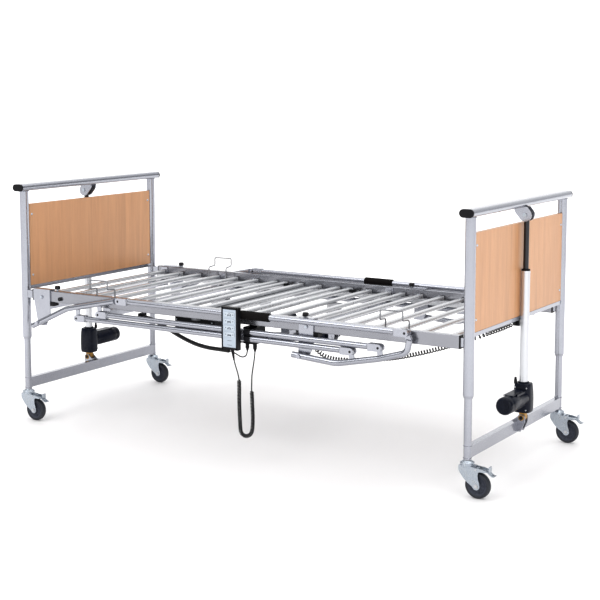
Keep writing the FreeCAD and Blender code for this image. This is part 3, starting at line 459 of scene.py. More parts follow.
HANDSET_LEAD = [(96, -529, 419), (102, -529.5, 400), (110, -530, 380), (117, -530, 360), (121, -530, 341)]
HANDSET_COIL = [(121, -530, 341), (122, -530.5, 300), (121, -530, 250), (122, -529, 200),
                (123.5, -527.5, 154), (124, -525.5, 126), (132, -522.5, 113), (146, -518, 107.5),
                (160, -513, 113), (168.5, -509, 126), (170, -505.5, 154), (168, -502, 200), (164, -500, 240),
                (163, -499, 270), (160, -498, 294)]
HANDSET_TAIL = [(160, -498, 294), (158, -494, 322), (154, -487, 354), (153, -476, 386), (151, -464, 416),
                (150, -457, 446)]
HEAD_LEAD = [(112, -456, 446), (109, -455, 431), (98, -452, 419), (80, -449, 414), (60, -446, 419),
             (38, -444, 428), (16, -442, 432)]
HEAD_COIL = [(16, -442, 432), (-30, -441, 433), (-90, -441, 433), (-150, -441, 440), (-206, -441, 455),
             (-258, -440, 473), (-310, -438, 494), (-358, -435, 512), (-404, -431, 525), (-440, -428, 530)]
FOOT_COIL = [(325, -352, 500), (351, -352, 488), (375, -352, 463), (407, -351, 440), (454, -350, 430),
             (526, -350, 434), (610, -350, 444), (700, -350, 458), (790, -350, 480), (878, -349, 507),
             (956, -346, 533), (1018, -338, 556), (1058, -304, 572), (1069, -232, 576), (1069, -140, 574),
             (1068, -50, 573), (1070, 36, 577)]


def nurbs(name, points, depth=0.0, resolution=12):
    """An open NURBS curve of order 3 through its end points."""
    curve = bpy.data.curves.new(name, "CURVE")
    curve.dimensions = "3D"
    spline = curve.splines.new("NURBS")
    spline.points.add(len(points) - 1)
    for target, point in zip(spline.points, points):
        target.co = (*point, 1.0)
    spline.order_u = 3
    spline.use_endpoint_u = True
    spline.resolution_u = resolution
    curve.bevel_depth = depth
    curve.bevel_resolution = 3
    curve.use_fill_caps = True
    return linked(name, curve)


def line_of(points):
    """The points of the smooth route that the control points make, in the row frame."""
    route = nurbs("route", [row(*p) for p in points])
    bpy.context.view_layer.update()
    mesh = bpy.data.meshes.new_from_object(route)
    line = [v.co.copy() for v in mesh.vertices]
    bpy.data.objects.remove(route)
    bpy.data.meshes.remove(mesh)
    return line


def helix_along(line, radius, pitch, far_pitch=None, change=1.0):
    """Points that wind round a line, opening from it over the first turn and closing on it over the last.

    Past the share change of its length the coil is pulled out to far_pitch.
    """
    lengths = [0.0]
    for a, b in zip(line, line[1:]):
        lengths.append(lengths[-1] + (b - a).length)
    total = lengths[-1]
    near_turns = total * change / pitch
    turns = near_turns + total * (1.0 - change) / (far_pitch or pitch)
    count = int(turns * TURN_POINTS)
    normal = (line[1] - line[0]).orthogonal().normalized()
    before = (line[1] - line[0]).normalized()
    out = []
    at = 0
    for i in range(count + 1):
        turn = turns * i / count
        s = turn * pitch if turn < near_turns else total * change + (turn - near_turns) * (far_pitch or pitch)
        while at < len(lengths) - 2 and lengths[at + 1] < s:
            at += 1
        part = (s - lengths[at]) / max(lengths[at + 1] - lengths[at], 1e-9)
        centre = line[at].lerp(line[at + 1], part)
        way_a = (line[at + 1] - line[at]).normalized()
        nearby = min(at + 2, len(line) - 1)
        way_b = (line[nearby] - line[nearby - 1]).normalized()
        way = way_a.lerp(way_b, part).normalized()
        normal = (before.rotation_difference(way) @ normal).normalized()
        before = way
        opening = min(1.0, turn, turns - turn)
        a = 2 * math.pi * turn
        side = way.cross(normal)
        out.append(centre + (normal * math.cos(a) + side * math.sin(a)) * radius * opening)
    return out


def cord_piece(name, control, nodes):
    obj = nurbs(name, control, WIRE_D / 2 * MM, 2)
    obj.data.materials.append(CORD)
    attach(obj, "main_frame")
    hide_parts(*nodes)
    return obj


def make_cords():
    handset = [row(*p) for p in HANDSET_LEAD[:-1]]
    handset += helix_along(line_of(HANDSET_COIL), (HANDSET_COIL_R - WIRE_D / 2) * MM, COIL_PITCH * MM)
    handset += [row(*p) for p in HANDSET_TAIL[1:]]
    cord_piece("handset_cord", handset, ("handset_coil", "handset_leads"))
    head = [row(*p) for p in HEAD_LEAD[:-1]]
    head += helix_along(line_of(HEAD_COIL), (HEAD_COIL_R - WIRE_D / 2) * MM, COIL_PITCH * MM)
    cord_piece("head_motor_cord", head, ("head_cord_coil", "head_cord_lead"))
    foot = helix_along(line_of(FOOT_COIL), (FOOT_COIL_R - WIRE_D / 2) * MM, STRETCHED_PITCH * MM,
                       PULLED_PITCH * MM, PULLED_FROM)
    cord_piece("foot_motor_cord", foot, ("foot_cord_coil",))


# ---- castors

POST = {"head": -1096.0, "foot": 1096.0}
POST_Y = {"near": -456.0, "far": 456.0}
TRAIL = 45.0
WHEEL_R = 50.0
WHEEL_HALF = 13.0
HUB_RIBS = 10
BRAKE_PIVOT = (42, 0, 112)


def arc_points(cx, cy, r, start, end, count):
    return [(cx + r * math.cos(math.radians(start + (end - start) * i / count)),
             cy + r * math.sin(math.radians(start + (end - start) * i / count))) for i in range(count + 1)]


def fork_outline():
    """One cheek: a high shoulder under the swivel head, a hollow back edge and a round eye at the axle."""
    back = [(-27, 119), (-27, 104), (-20, 92), (-6, 74), (10, 60), (28, 48)]
    eye = arc_points(TRAIL, WHEEL_R, 14.5, 215, 372, 12)
    front = [(57, 64), (52.5, 78), (51, 92), (53, 103), (60, 106), (78, 105), (84, 107), (84, 112), (60, 117),
             (36, 119)]
    return back + eye + front


def make_fork(end, side):
    x0, y0 = POST[end], POST_Y[side]
    layers = [(prism(fork_outline(), y, y + 3.0, 1.0, 2), ZINC) for y in (17.0, -20.0)]
    crown = prism([(-26, 115.5), (36, 115.5), (36, 119.5), (24, 121.5), (-26, 121.5)], -19.6, 19.6, 2.0, 3)
    bridge = block((58, -19.6, 107.5), (84, 19.6, 110.5), 1.0)
    race = lathe([(0, 120.5), (26, 120.5), (27.3, 122), (27.3, 125), (26.2, 126.2), (26.2, 127.4),
                  (27.2, 128.4), (27.2, 131.5), (24.5, 134.5), (19, 136.5), (16.5, 139.8), (0, 139.8)])
    nut = lathe([(0, 139.6), (11.8, 139.6), (12.6, 140.4), (12.6, 140.6), (10.8, 140.7)], 6)
    layers += [(crown, ZINC), (bridge, ZINC), (race, ZINC), (nut, STEEL)]
    for way in (1, -1):
        bolt = lathe([(0, 20.0), (8.4, 20.0), (8.4, 20.9), (6.6, 21.1)], 24)
        head = bevelled(lathe([(0, 20.9), (6.9, 20.9), (6.9, 23.6), (0, 23.6)], 6), 0.4, 2)
        layers += [(aim(geo, (TRAIL, 0, WHEEL_R), (0, way, 0)), STEEL) for geo in (bolt, head)]
        rivet = lathe([(0, 22.2), (2.4, 22.0), (4.0, 21.2), (4.4, 20.0), (0, 20.0)], 20)
        layers.append((aim(rivet, BRAKE_PIVOT, (0, way, 0)), STEEL))
    axle = lathe([(0, -21), (3.95, -21), (3.95, 21), (0, 21)], 24)
    layers.append((aim(axle, (TRAIL, 0, WHEEL_R), (0, 1, 0)), STEEL))
    placed = in_row(layers, lambda geo: shifted(geo, x0, y0, 0))
    piece(f"{end}_{side}_castor_fork", f"{end}_{side}_fork", placed, (f"{end}_{side}_fork",))


def make_wheel(end, side):
    x0, y0 = POST[end], POST_Y[side]
    across = [WHEEL_HALF * (i / 8 - 1) for i in range(17)]
    crown = [(WHEEL_R - 0.04 - 3.8 * (abs(h) / WHEEL_HALF) ** 2.6, h) for h in across]
    wall = [(38.4, -11.6), (41, -12.3), (42, -12.9), (44.5, -13.0)]
    upper = [(r, -h) for r, h in reversed(wall)]
    tyre = ring([(37.6, -10.4)] + wall + crown + upper + [(37.6, 10.4)], 72)
    inner = [(4.06, -15), (9.5, -15), (11.6, -14.4), (12.6, -12.4), (13.4, -8.2), (15, -7.2), (26, -6.4),
             (31, -7.0), (34, -9.6), (36.4, -11.4), (38.2, -11.5), (38.2, -9.0)]
    hub = ring(inner + [(r, -h) for r, h in reversed(inner)], 72)
    layers = [(tyre, TYRE), (hub, GREY_CAP)]
    for k in range(HUB_RIBS):
        turn = Matrix.Rotation(2 * math.pi * k / HUB_RIBS, 4, "Z")
        for way in (1, -1):
            rib = block((12.5, -0.9, 6.2), (34.0, 0.9, 9.4), 0.5)
            layers.append((moved(moved(rib, Matrix.Diagonal((1, 1, way, 1))), turn), GREY_CAP))
    upright = Matrix.Translation((x0 + TRAIL, y0, WHEEL_R)) @ Matrix.Rotation(math.pi / 2, 4, "X")
    placed = in_row(layers, lambda geo: moved(geo, upright))
    piece(f"{end}_{side}_castor_wheel", f"{end}_{side}_wheel", placed, (f"{end}_{side}_wheel",))


def make_brake(end, side):
    """The foot pedal: a folded plate with a rolled front lip and an upright release tab."""
    x0, y0 = POST[end], POST_Y[side]
    arm = prism([(46, 111.5), (88, 108.5), (97, 100), (106, 95), (112.5, 94.5), (112.2, 92.2), (104, 92.2),
                 (95, 97), (86, 105), (46, 108)], -12.5, 12.5, 0.9, 2)
    lip = swept([(111.0, -12.0, 93.4), (111.0, 12.0, 93.4)], 1.9, 14)
    tab = prism([(90, 106), (90.5, 127), (93, 128), (95.4, 127), (95.2, 108)], -9, 9, 0.9, 2)
    barrel = lathe([(0, -14), (5.0, -14), (5.5, -13.4), (5.5, 13.4), (5.0, 14), (0, 14)], 28)
    grips = [(block((99.5 + 4.2 * i, -10, 97.6 - 1.9 * i), (101.2 + 4.2 * i, 10, 99.0 - 1.9 * i), 0.4), ZINC)
             for i in range(3)]
    layers = [(arm, ZINC), (lip, ZINC), (tab, ZINC), (aim(barrel, BRAKE_PIVOT, (0, 1, 0)), ZINC)] + grips
    placed = in_row(layers, lambda geo: shifted(geo, x0, y0, 0))
    piece(f"{end}_{side}_castor_pedal", f"{end}_{side}_brake", placed,
          (f"{end}_{side}_brake",))


# ---- lift actuators

LIFT_X = 1125.0
LIFT_TOP_PIN = 1017.0
LIFT_LOW_PIN = 208.0
MOTOR_Z = 290.0


def superellipse(half_x, half_y, z, power, count=48):
    out = []
    for i in range(count):
        a = 2 * math.pi * i / count
        c, s = math.cos(a), math.sin(a)
        out.append((half_x * math.copysign(abs(c) ** (2 / power), c),
                    half_y * math.copysign(abs(s) ** (2 / power), s), z))
    return out


def stack(rings):
    """A closed skin over rings that all have the same number of points."""
    n = len(rings[0])
    verts = [Vector(p) for loop in rings for p in loop]
    faces = [tuple(reversed(range(n))), tuple(range((len(rings) - 1) * n, len(rings) * n))]
    for k in range(len(rings) - 1):
        for i in range(n):
            j = (i + 1) % n
            faces.append((k * n + i, k * n + j, (k + 1) * n + j, (k + 1) * n + i))
    return verts, faces


def actuator_layers():
    """The foot-end lift actuator in design millimetres."""
    motor = (LIFT_X, 0, MOTOR_Z)
    low_pin = (LIFT_X, 0, LIFT_LOW_PIN)
    body = [(28, 25, 230), (32, 29, 231), (34.6, 31.5, 235), (36.5, 32.8, 245), (37.0, 33, 280),
            (36.2, 32.6, 310), (34.4, 30.5, 333), (33.0, 28.8, 344), (31.8, 27.5, 347), (28, 24, 348)]
    housing = stack([superellipse(hx, hy, z, 3.4) for hx, hy, z in body])
    layers = [(shifted(housing, LIFT_X + 0.5, 0, 0), NAVY)]
    seam = stack([superellipse(36.9, 33.0, z, 3.4) for z in (286.0, 287.2)])
    layers.append((shifted(seam, LIFT_X + 0.5, 0, 0), BLACK))
    can = lathe([(0, 20), (34.2, 20), (34.2, 60), (34.9, 61), (34.9, 148), (34.9, 166), (34.2, 168),
                 (34.2, 170), (35.0, 171), (35.0, 187), (33.6, 192), (30.5, 196.5), (26.5, 199.4),
                 (25.0, 199.4), (24.2, 198.4), (0, 198.4)], 56)
    layers.append((aim(can, motor, (0, -1, 0)), NAVY))
    for k in range(3):
        r = 9 + 5 * k
        fin = lathe([(r, 198.3), (r + 0.4, 199.2), (r + 2.0, 199.2), (r + 2.4, 198.3)], 40)
        layers.append((aim(fin, motor, (0, -1, 0)), NAVY))
    plate = block((LIFT_X - 20, -154, MOTOR_Z + 33.4), (LIFT_X + 20, -32, MOTOR_Z + 36.4), 1.2)
    saddle = block((LIFT_X - 24, -118, MOTOR_Z + 12), (LIFT_X + 24, -30, MOTOR_Z + 33.5), 3.0, 3)
    layers += [(plate, NAVY), (saddle, NAVY)]
    tube = ring([(14.2, 346), (17.5, 346), (17.5, 788), (14.2, 788)], 48)
    ferrule = lathe([(13, 346), (22, 346), (22.6, 347), (22.6, 351.5), (21.4, 353), (17.7, 353.4),
                     (13, 353.4)], 48)
    sleeve = ring([(11.6, 786), (17.9, 786), (18.4, 786.6), (18.4, 795.4), (17.6, 796.2), (11.6, 796.2)], 48)
    wiper = ring([(11.3, 796), (16.9, 796), (17.3, 796.6), (17.3, 800.6), (16.2, 802.4), (13.2, 803),
                  (11.3, 802.6)],
                  48)
    for geo, material in ((tube, ALU), (ferrule, NAVY), (sleeve, ALU), (wiper, BLACK)):
        layers.append((shifted(geo, LIFT_X, 0, 0), material))
    plug = lathe([(0, 0), (6.5, 0), (6.5, 15), (5.2, 17), (4.6, 25), (3.4, 26.5), (0, 26.5)], 24)
    layers.append((shifted(plug, LIFT_X - 26, -20, 345), BLACK))
    lug_eye = arc_points(LIFT_X, LIFT_LOW_PIN, 13.9, 165, 375, 16)
    lug_sides = [(LIFT_X - 11, 233), (LIFT_X - 13, 213)], [(LIFT_X + 13, 213), (LIFT_X + 11, 233)]
    lug = prism(lug_sides[0] + lug_eye + lug_sides[1], -12, 12, 1.0, 2)
    flange = ring([(5.2, 18.2), (10.9, 18.2), (11.5, 18.7), (11.5, 19.6), (10.9, 20.0), (5.2, 20.0)], 32)
    layers += [(aim(flange, low_pin, (0, way, 0)), BRASS) for way in (1, -1)]
    layers.append((lug, BRASS))
    pin = lathe([(0, -23), (6.6, -23), (7.8, -22), (7.8, -20), (5, -20), (5, 20), (7.8, 20), (7.8, 22),
                 (6.6, 23), (0, 23)], 28)
    layers.append((aim(pin, low_pin, (0, 1, 0)), BLACK_GLOSS))
    for dx, dy in ((-24, -31.6), (24, -31.6)):
        for z in (244.0, 332.0):
            screw = lathe([(0, 0), (3.4, 0), (3.2, 1.1), (1.2, 1.5), (0, 0.7)], 20)
            layers.append((aim(screw, (LIFT_X + dx, dy + (3.0 if z > 300 else 0.0), z), (0, -1, 0)), STEEL))
    return layers


def rod_layers():
    rod = lathe([(0, 545), (10.6, 545), (11, 545.6), (11, 1008), (0, 1008)], 40)
    eye = lathe([(0, -12), (17, -12), (18, -11), (18, 11), (17, 12), (0, 12)], 48)
    rim = ring([(11, 11.6), (13, 11.6), (13, 12.0), (11, 12.0)], 40)
    layers = [(shifted(rod, LIFT_X, 0, 0), ROD_BLACK),
              (aim(eye, (LIFT_X, 0, LIFT_TOP_PIN), (0, 1, 0)), ROD_BLACK)]
    layers += [(aim(rim, (LIFT_X, 0, LIFT_TOP_PIN), (0, way, 0)), ROD_BLACK) for way in (1, -1)]
    return layers


def make_lifts():
    for end in ("foot", "head"):
        turn = half_turn if end == "head" else None
        motor = in_row(actuator_layers(), turn)
        rod = in_row(rod_layers(), turn)
        piece(f"{end}_actuator", f"{end}_legs", motor, (f"{end}_lift_motor",))
        piece(f"{end}_actuator_rod", "main_frame", rod, (f"{end}_lift_rod",))


# ---- cot side details

COT_Y = 496.0
COT_LINK = 1376.0
COT_ORIGIN = {"near": (-986.0, 462.0), "far": (-960.0, 475.0)}
COT_BARS = {"bottom": (232.0, 43.0), "middle": (354.0, 70.0), "top": (466.0, 138.0)}
GRIP_SPAN = {"near": (99.0, 247.0), "far": (128.0, 272.0)}
SIDE_WAY = {"near": -1, "far": 1}
PIN_FACE = [(0, 0.2), (2.0, 0.2), (2.2, 0.8), (4.2, 1.0), (5.0, 0.5), (5.0, -0.5), (0, -0.5)]


def foam_grip(length):
    """A foam sleeve about +Z with soft ends and a slightly uneven skin."""
    count = 16
    skin = []
    for i in range(count + 1):
        share = i / count
        skin.append((17.75 + 0.22 * math.sin(11.0 * share) * math.cos(5.0 * share),
                     3.0 + (length - 6.0) * share))
    low = [(12.1, 1.6), (12.8, 0.5), (14.5, 0.0), (16.4, 0.5), (17.3, 1.5)]
    high = [(r, length - h) for r, h in reversed(low)]
    return ring(low + skin + high, 56)


def bar_details(side, level):
    """Fork-end pins and the step of each moulded end, for one guard bar."""
    way = SIDE_WAY[side]
    x0 = COT_ORIGIN[side][0] + COT_BARS[level][0]
    z0 = COT_ORIGIN[side][1] + COT_BARS[level][1]
    layers = []
    for pivot_x, along in ((x0, 1), (x0 + COT_LINK, -1)):
        for face in (1, -1):
            dot = lathe(PIN_FACE, 24)
            layers.append((aim(dot, (pivot_x, way * COT_Y + face * 15.0, z0), (0, face, 0)), BLACK_GLOSS))
        step = ring([(11.6, 0), (14.0, 0), (14.25, 0.5), (14.25, 3.0), (13.2, 4.4), (11.6, 4.6)], 40)
        layers.append((aim(step, (pivot_x + along * 44.8, way * COT_Y, z0), (along, 0, 0)), FORK_GREY))
        seam = ring([(11.6, 0), (12.3, 0), (12.3, 0.8), (11.6, 0.8)], 40)
        layers.append((aim(seam, (pivot_x + along * 49.4, way * COT_Y, z0), (along, 0, 0)), BLACK))
    return in_row(layers)


def make_cot_details():
    for side in ("near", "far"):
        way = SIDE_WAY[side]
        for level in COT_BARS:
            piece(f"{side}_{level}_bar_fittings", f"{side}_{level}_bar", bar_details(side, level))
        low, high = GRIP_SPAN[side]
        top_z = COT_ORIGIN[side][1] + COT_BARS["top"][1]
        sleeve = aim(foam_grip(high - low), (low, way * COT_Y, top_z), (1, 0, 0))
        grip = piece(f"{side}_foam_grip", f"{side}_top_bar", in_row([(sleeve, FOAM)]))
    for level in ("middle", "bottom"):
        z0 = COT_ORIGIN["near"][1] + COT_BARS[level][1]
        clip = ring([(11.6, 0), (12.6, 0), (13.1, 0.6), (13.1, 9), (12.6, 9.6), (12.6, 21), (13.1, 21.6),
                     (13.1, 30), (12.6, 30.6), (11.6, 30.6)], 40)
        tab = block((134, -COT_Y - 9.5, z0 - 12.4), (152, -COT_Y + 13.4, z0 - 10.4), 0.7)
        layers = in_row([(aim(clip, (128, -COT_Y, z0), (1, 0, 0)), BLACK), (tab, BLACK)])
        piece(f"near_{level}_bar_clip", f"near_{level}_bar", layers)


def make_clamp_details():
    """Hex screws and pivot nuts on the clamps, and a small locking grip on each rail by the head clamp."""
    layers = []
    for side in ("near", "far"):
        way = SIDE_WAY[side]
        x0, z0 = COT_ORIGIN[side]
        for x in (x0 + 2.0, x0 + COT_LINK + 15.0):
            washer = lathe([(0, 4.0), (7.6, 4.0), (8.3, 4.3), (8.3, 5.0), (7.4, 5.3), (0, 5.3)], 32)
            head = bevelled(lathe([(0, 5.2), (5.6, 5.2), (5.6, 7.2), (0, 7.2)], 6), 0.5, 2)
            layers += [(aim(geo, (x, way * 475.0, 576), (0, way, 0)), ZINC) for geo in (washer, head)]
        for x in (x0, x0 + COT_LINK):
            nut = bevelled(lathe([(0, 16.6), (8.6, 16.6), (8.6, 21.8), (0, 21.8)], 6), 0.7, 2)
            tip = lathe([(0, 21.6), (5.2, 21.6), (5.2, 23.0), (4.2, 23.9), (0, 24.1)], 28)
            layers += [(aim(geo, (x, way * 491.0, z0), (0, way, 0)), ZINC) for geo in (nut, tip)]
        grip = lathe([(0, 0), (4.0, 0), (4.0, 2.2), (8.2, 2.6), (8.8, 3.6), (8.8, 8.2), (7.6, 9.8),
                      (4.0, 10.2), (3.2, 9.6), (0, 9.6)], 32)
        layers.append((aim(grip, (x0 + 108.0, way * 471.0, 574), (0, way, 0)), BLACK_GLOSS))
    piece("clamp_screws", "main_frame", in_row(layers))


RAIL_TOP = 606.0
KNOB_X = (-908.0, 389.0)
KNOB_LOBES = 5
KNOB_STEPS = 60
# Height above the rail, mean radius and depth of the lobes, up the knob's side and over its dished top.
KNOB_RINGS = [(7.1, 9.0, 0.3), (7.8, 10.8, 0.8), (10.0, 12.0, 1.2), (18.0, 12.2, 1.2), (21.6, 11.6, 1.0),
              (23.4, 10.0, 0.6), (23.8, 8.0, 0.3), (23.2, 5.2, 0.1), (22.8, 2.4, 0.0)]


def knob_ring(z, base, lobe):
    out = []
    for i in range(KNOB_STEPS):
        a = 2 * math.pi * i / KNOB_STEPS
        radius = base - lobe * math.cos(KNOB_LOBES * a)
        out.append((radius * math.cos(a), radius * math.sin(a), z))
    return out


def make_knobs():
    """The four star knobs on the rails, with five soft lobes and a dished top."""
    layers = []
    for x0 in KNOB_X:
        for way in (-1, 1):
            rings = [knob_ring(*values) for values in KNOB_RINGS]
            stem = lathe([(0, 0.1), (3.5, 0.1), (3.9, 0.6), (3.9, 6.4), (6.6, 6.8), (6.6, 7.6), (0, 7.6)], 28)
            foot = (x0, way * 456.0, RAIL_TOP)
            layers.append((shifted(stack(rings), *foot), BLACK_GLOSS))
            layers.append((shifted(stem, *foot), ZINC))
    piece("star_knobs", "main_frame", in_row(layers), ("locking_knobs",))


# ---- handset and boxes

KEY_Z = (604.0, 577.0, 550.0, 523.0)
KEY_LEAN = (0.75, -0.55, 0.35, 0.0)
HAND_X = 82.5
GLYPH_DEPTH = (-542.28, -542.0)


def dome_screw(radius):
    """A small cross-recess screw head standing on z = 0."""
    return lathe([(0, 0.1), (radius * 0.22, 0.1), (radius * 0.3, radius * 0.42),
                  (radius * 0.7, radius * 0.36), (radius, radius * 0.12), (radius, 0), (0, 0)], 20)


def key_layers(index, z0):
    """A rounded key with a small picture of a bed section and an arrow at each side."""
    pad = block((HAND_X - 23, -542.05, z0 - 9), (HAND_X + 23, -539.0, z0 + 9), 1.4, 3)
    rib = block((HAND_X - 1.4, -539.2, z0 - 7), (HAND_X + 1.4, -534.5, z0 + 7), 0.5)
    layers = [(pad, KEY_GREY), (rib, KEY_GREY)]
    lean = KEY_LEAN[index]
    raised = -0.8 + 7.0 * max(lean, 0.0)
    bars = [((-9.0, -3.6), (9.0, -3.6)), ((-8.6, -0.8), (0.8, raised)),
            ((0.8, raised), (9.0, -0.8 - 6.0 * min(lean, 0.0))), ((-7.0, -6.6), (-7.0, -3.6)),
            ((7.0, -6.6), (7.0, -3.6))]
    for (xa, za), (xb, zb) in bars:
        a = math.atan2(zb - za, xb - xa)
        dx, dz = -math.sin(a) * 1.1, math.cos(a) * 1.1
        outline = [(HAND_X + xa + dx, z0 + za + dz), (HAND_X + xb + dx, z0 + zb + dz),
                   (HAND_X + xb - dx, z0 + zb - dz), (HAND_X + xa - dx, z0 + za - dz)]
        layers.append((prism(outline, *GLYPH_DEPTH), GLYPH))
    for side, up in ((-17.0, -1), (17.0, 1)):
        arrow = [(HAND_X + side - 2.6, z0 - up * 1.8), (HAND_X + side + 2.6, z0 - up * 1.8),
                 (HAND_X + side, z0 + up * 2.4)]
        layers.append((prism(arrow, *GLYPH_DEPTH), GLYPH))
    return in_row(layers)


def make_handset():
    shell = block((43.2, -540.0, 460.2), (121.8, -517.2, 633.8), 5.5, 4)
    layers = [(shell, BLACK)]
    for low, high in (((43.4, 460.4), (50.8, 633.6)), ((113.6, 460.4), (121.6, 633.6)),
                      ((46.0, 624.4), (119.0, 633.6)), ((46.0, 460.4), (119.0, 470.6))):
        layers.append((block((low[0], -540.95, low[1]), (high[0], -537.4, high[1]), 1.6, 3), BLACK))
    layers.append((block((48.9, -540.35, 467.2), (116.1, -538.2, 627.6), 0.5), FACE_GREY))
    for dz in (480.0, 498.0):
        layers.append((block((72.0, -540.5, dz - 0.7), (93.0, -540.2, dz + 0.7), 0.1), GLYPH))
    for z0 in KEY_Z:
        rim = [(HAND_X + sx * 23.7, z0 + sz * 9.5) for sx, sz in ((-1, -1), (1, -1), (1, 1), (-1, 1))]
        layers.append((prism(rim, -540.45, -540.0), GREY_CAP))
    relief = [(0, 0), (3.5, 0)]
    for k in range(7):
        h = 1.5 + 5.2 * k
        r = 3.6 + 0.48 * k
        relief += [(r + 0.35, h), (r + 0.4, h + 2.6), (r - 0.35, h + 3.1), (r - 0.3, h + 4.6)]
    relief += [(7.0, 38.6), (7.0, 41.4), (0, 41.4)]
    layers.append((aim(lathe(relief, 28), (96, -529, 419), (-7, 0, 41)), BLACK))
    seam = block((43.0, -528.4, 460.0), (122.0, -527.6, 634.0), 0.2)
    layers.append((seam, BLACK_GLOSS))
    for x, z in ((52, 470), (113, 470), (52, 624), (113, 624)):
        layers.append((aim(dome_screw(2.8), (x, -517.3, z), (0, 1, 0)), STEEL))
    layers += [(block((70, -517.2, 480), (95, -472, 484), 0.8), BLACK),
               (block((70, -517.2, 466), (95, -515, 600), 0.8), BLACK),
               (block((70, -474, 480), (100, -462, 484), 0.8), BLACK)]
    piece("handset_body", "main_frame", in_row(layers), ("handset_shell",))
    for i, z0 in enumerate(KEY_Z):
        piece(f"handset_rocker_{i + 1}", f"handset_key_{i + 1}", key_layers(i, z0),
              (f"handset_key_{i + 1}",))


def make_box_details():
    """Lid seams, screws and plug rings of the junction box and the control box."""
    layers = [(block((99.6, -472.4, 519), (160.4, -391.6, 520.4), 0.3), BLACK_GLOSS),
              (block((-300.4, -402.4, 508), (-91.6, -305.6, 509.6), 0.3), BLACK_GLOSS)]
    for x, z in ((108, 530), (152, 530), (108, 490), (152, 490)):
        layers.append((aim(dome_screw(2.6), (x, -472.0, z), (0, -1, 0)), ZINC))
    for x in (-288, -104):
        for z in (490.0, 530.0):
            layers.append((aim(dome_screw(3.0), (x, -402.0, z), (0, -1, 0)), ZINC))
    for x, y in ((112, -456), (150, -457)):
        for h in (460.0, 464.0, 468.0, 472.0):
            grip = ring([(7.6, 0), (8.5, 0.3), (8.5, 1.7), (7.6, 2.0)], 28)
            layers.append((shifted(grip, x, y, h), BLACK))
    for k in range(9):
        rib = block((-282 + 20 * k, -402.5, 516), (-276 + 20 * k, -401.6, 536), 0.4)
        layers.append((rib, BLACK))
    piece("box_details", "main_frame", in_row(layers))


# ---- platform details

SLATS = {
    "main_frame": [-184.0, -84.0, 16.0, 84.0],
    "backrest": [-1004.0, -893.0, -781.0, -669.0, -558.0, -440.0, -330.0, -272.0],
    "thigh": [184.0, 284.0, 356.0],
    "calf": [446.0, 549.0, 652.0, 755.0, 858.0, 985.0],
}
DRIVES = {"backrest_motor": ((285.0, 455.0), (-260.0, 404.0), -60.0, 60.0),
          "thigh_motor": ((-165.0, 470.0), (174.0, 424.0), 100.0, 50.0)}


def make_slat_details():
    """A pale plug in each slat end and a rivet over each side bar."""
    for body, places in SLATS.items():
        layers = []
        for x in places:
            for way in (-1, 1):
                low, high = sorted((way * 428.0, way * 431.4))
                layers.append((block((x - 13.2, low, 571.8), (x + 13.2, high, 586.3), 1.5, 3), PLUG))
                layers.append((shifted(dome_screw(3.6), x, way * 408.0, 587.0), ZINC))
        piece(f"{body}_slat_plugs", body, in_row(layers))


def make_hinge_covers():
    """Black end blocks on the side bars at the backrest's and the thigh section's hinges."""
    spans = {"backrest": [(-257.4, -246.6)], "main_frame": [(-217.4, -198.6), (98.6, 119.4)],
             "thigh": [(148.6, 169.4)]}
    for body, places in spans.items():
        layers = []
        for low, high in places:
            for way in (-1, 1):
                y = way * 408.0
                layers.append((block((low, y - 12, 569), (high, y + 12, 583), 2.2, 3), BLACK))
                layers.append((shifted(dome_screw(2.6), (low + high) / 2, y, 583), ZINC))
        piece(f"{body}_hinge_covers", body, in_row(layers))


def make_drive_details():
    """Clamp rings, end rims and screws on the two under-deck drives."""
    for body, (pivot, pin, y0, outer) in DRIVES.items():
        way = Vector((pin[0] - pivot[0], 0, pin[1] - pivot[1]))
        length = way.length
        way.normalize()
        rear = Vector((pivot[0], y0, pivot[1]))
        layers = []
        for at, radius in ((36.0, 26.0), (66.0, 26.0), (94.0, 26.0), (110.0, 19.0),
                           (length - outer - 7.0, 19.0)):
            band = ring([(radius - 1, 0), (radius + 0.5, 0.3), (radius + 0.5, 3.7), (radius - 1, 4.0)], 44)
            layers.append((aim(band, rear + way * at, way), NAVY))
        for at in (34.0, 60.0, 92.0, 120.0):
            rim = ring([(23, 0), (24.4, 0.3), (24.4, 2.7), (23, 3.0)], 44)
            layers.append((aim(rim, rear + way * 62 + Vector((0, at, 0)), (0, 1, 0)), NAVY))
        for k in range(4):
            a = math.pi * (0.25 + 0.5 * k)
            spot = rear + way * 62 + Vector((17 * math.cos(a), 129.9, 17 * math.sin(a)))
            layers.append((aim(dome_screw(2.6), spot, (0, 1, 0)), ZINC))
        piece(f"{body}_details", body, in_row(layers))


def make_end_details():
    """Weld beads under the top rails and round the crossbars, one ring of small ripples each."""
    for end in ("foot", "head"):
        turn = half_turn if end == "head" else None
        beads = []
        low_beads = []
        for way in (-1, 1):
            for z, radius, target in ((1044.2, 20.6, beads), (193.4, 15.1, low_beads),
                                      (147.6, 15.1, low_beads)):
                path = []
                for i in range(49):
                    a = 2 * math.pi * i / 48
                    r = radius + 0.5 + 0.2 * math.cos(12 * a)
                    path.append((1096 + r * math.cos(a), way * 456 + r * math.sin(a),
                                 z + 0.25 * math.sin(16 * a)))
                target.append((swept(path, 1.3, 8, caps=False), COAT))
        piece(f"{end}_rail_welds", "main_frame", in_row(beads, turn))
        piece(f"{end}_crossbar_welds", f"{end}_legs", in_row(low_beads, turn))


# ---- finishes of the CAD nodes

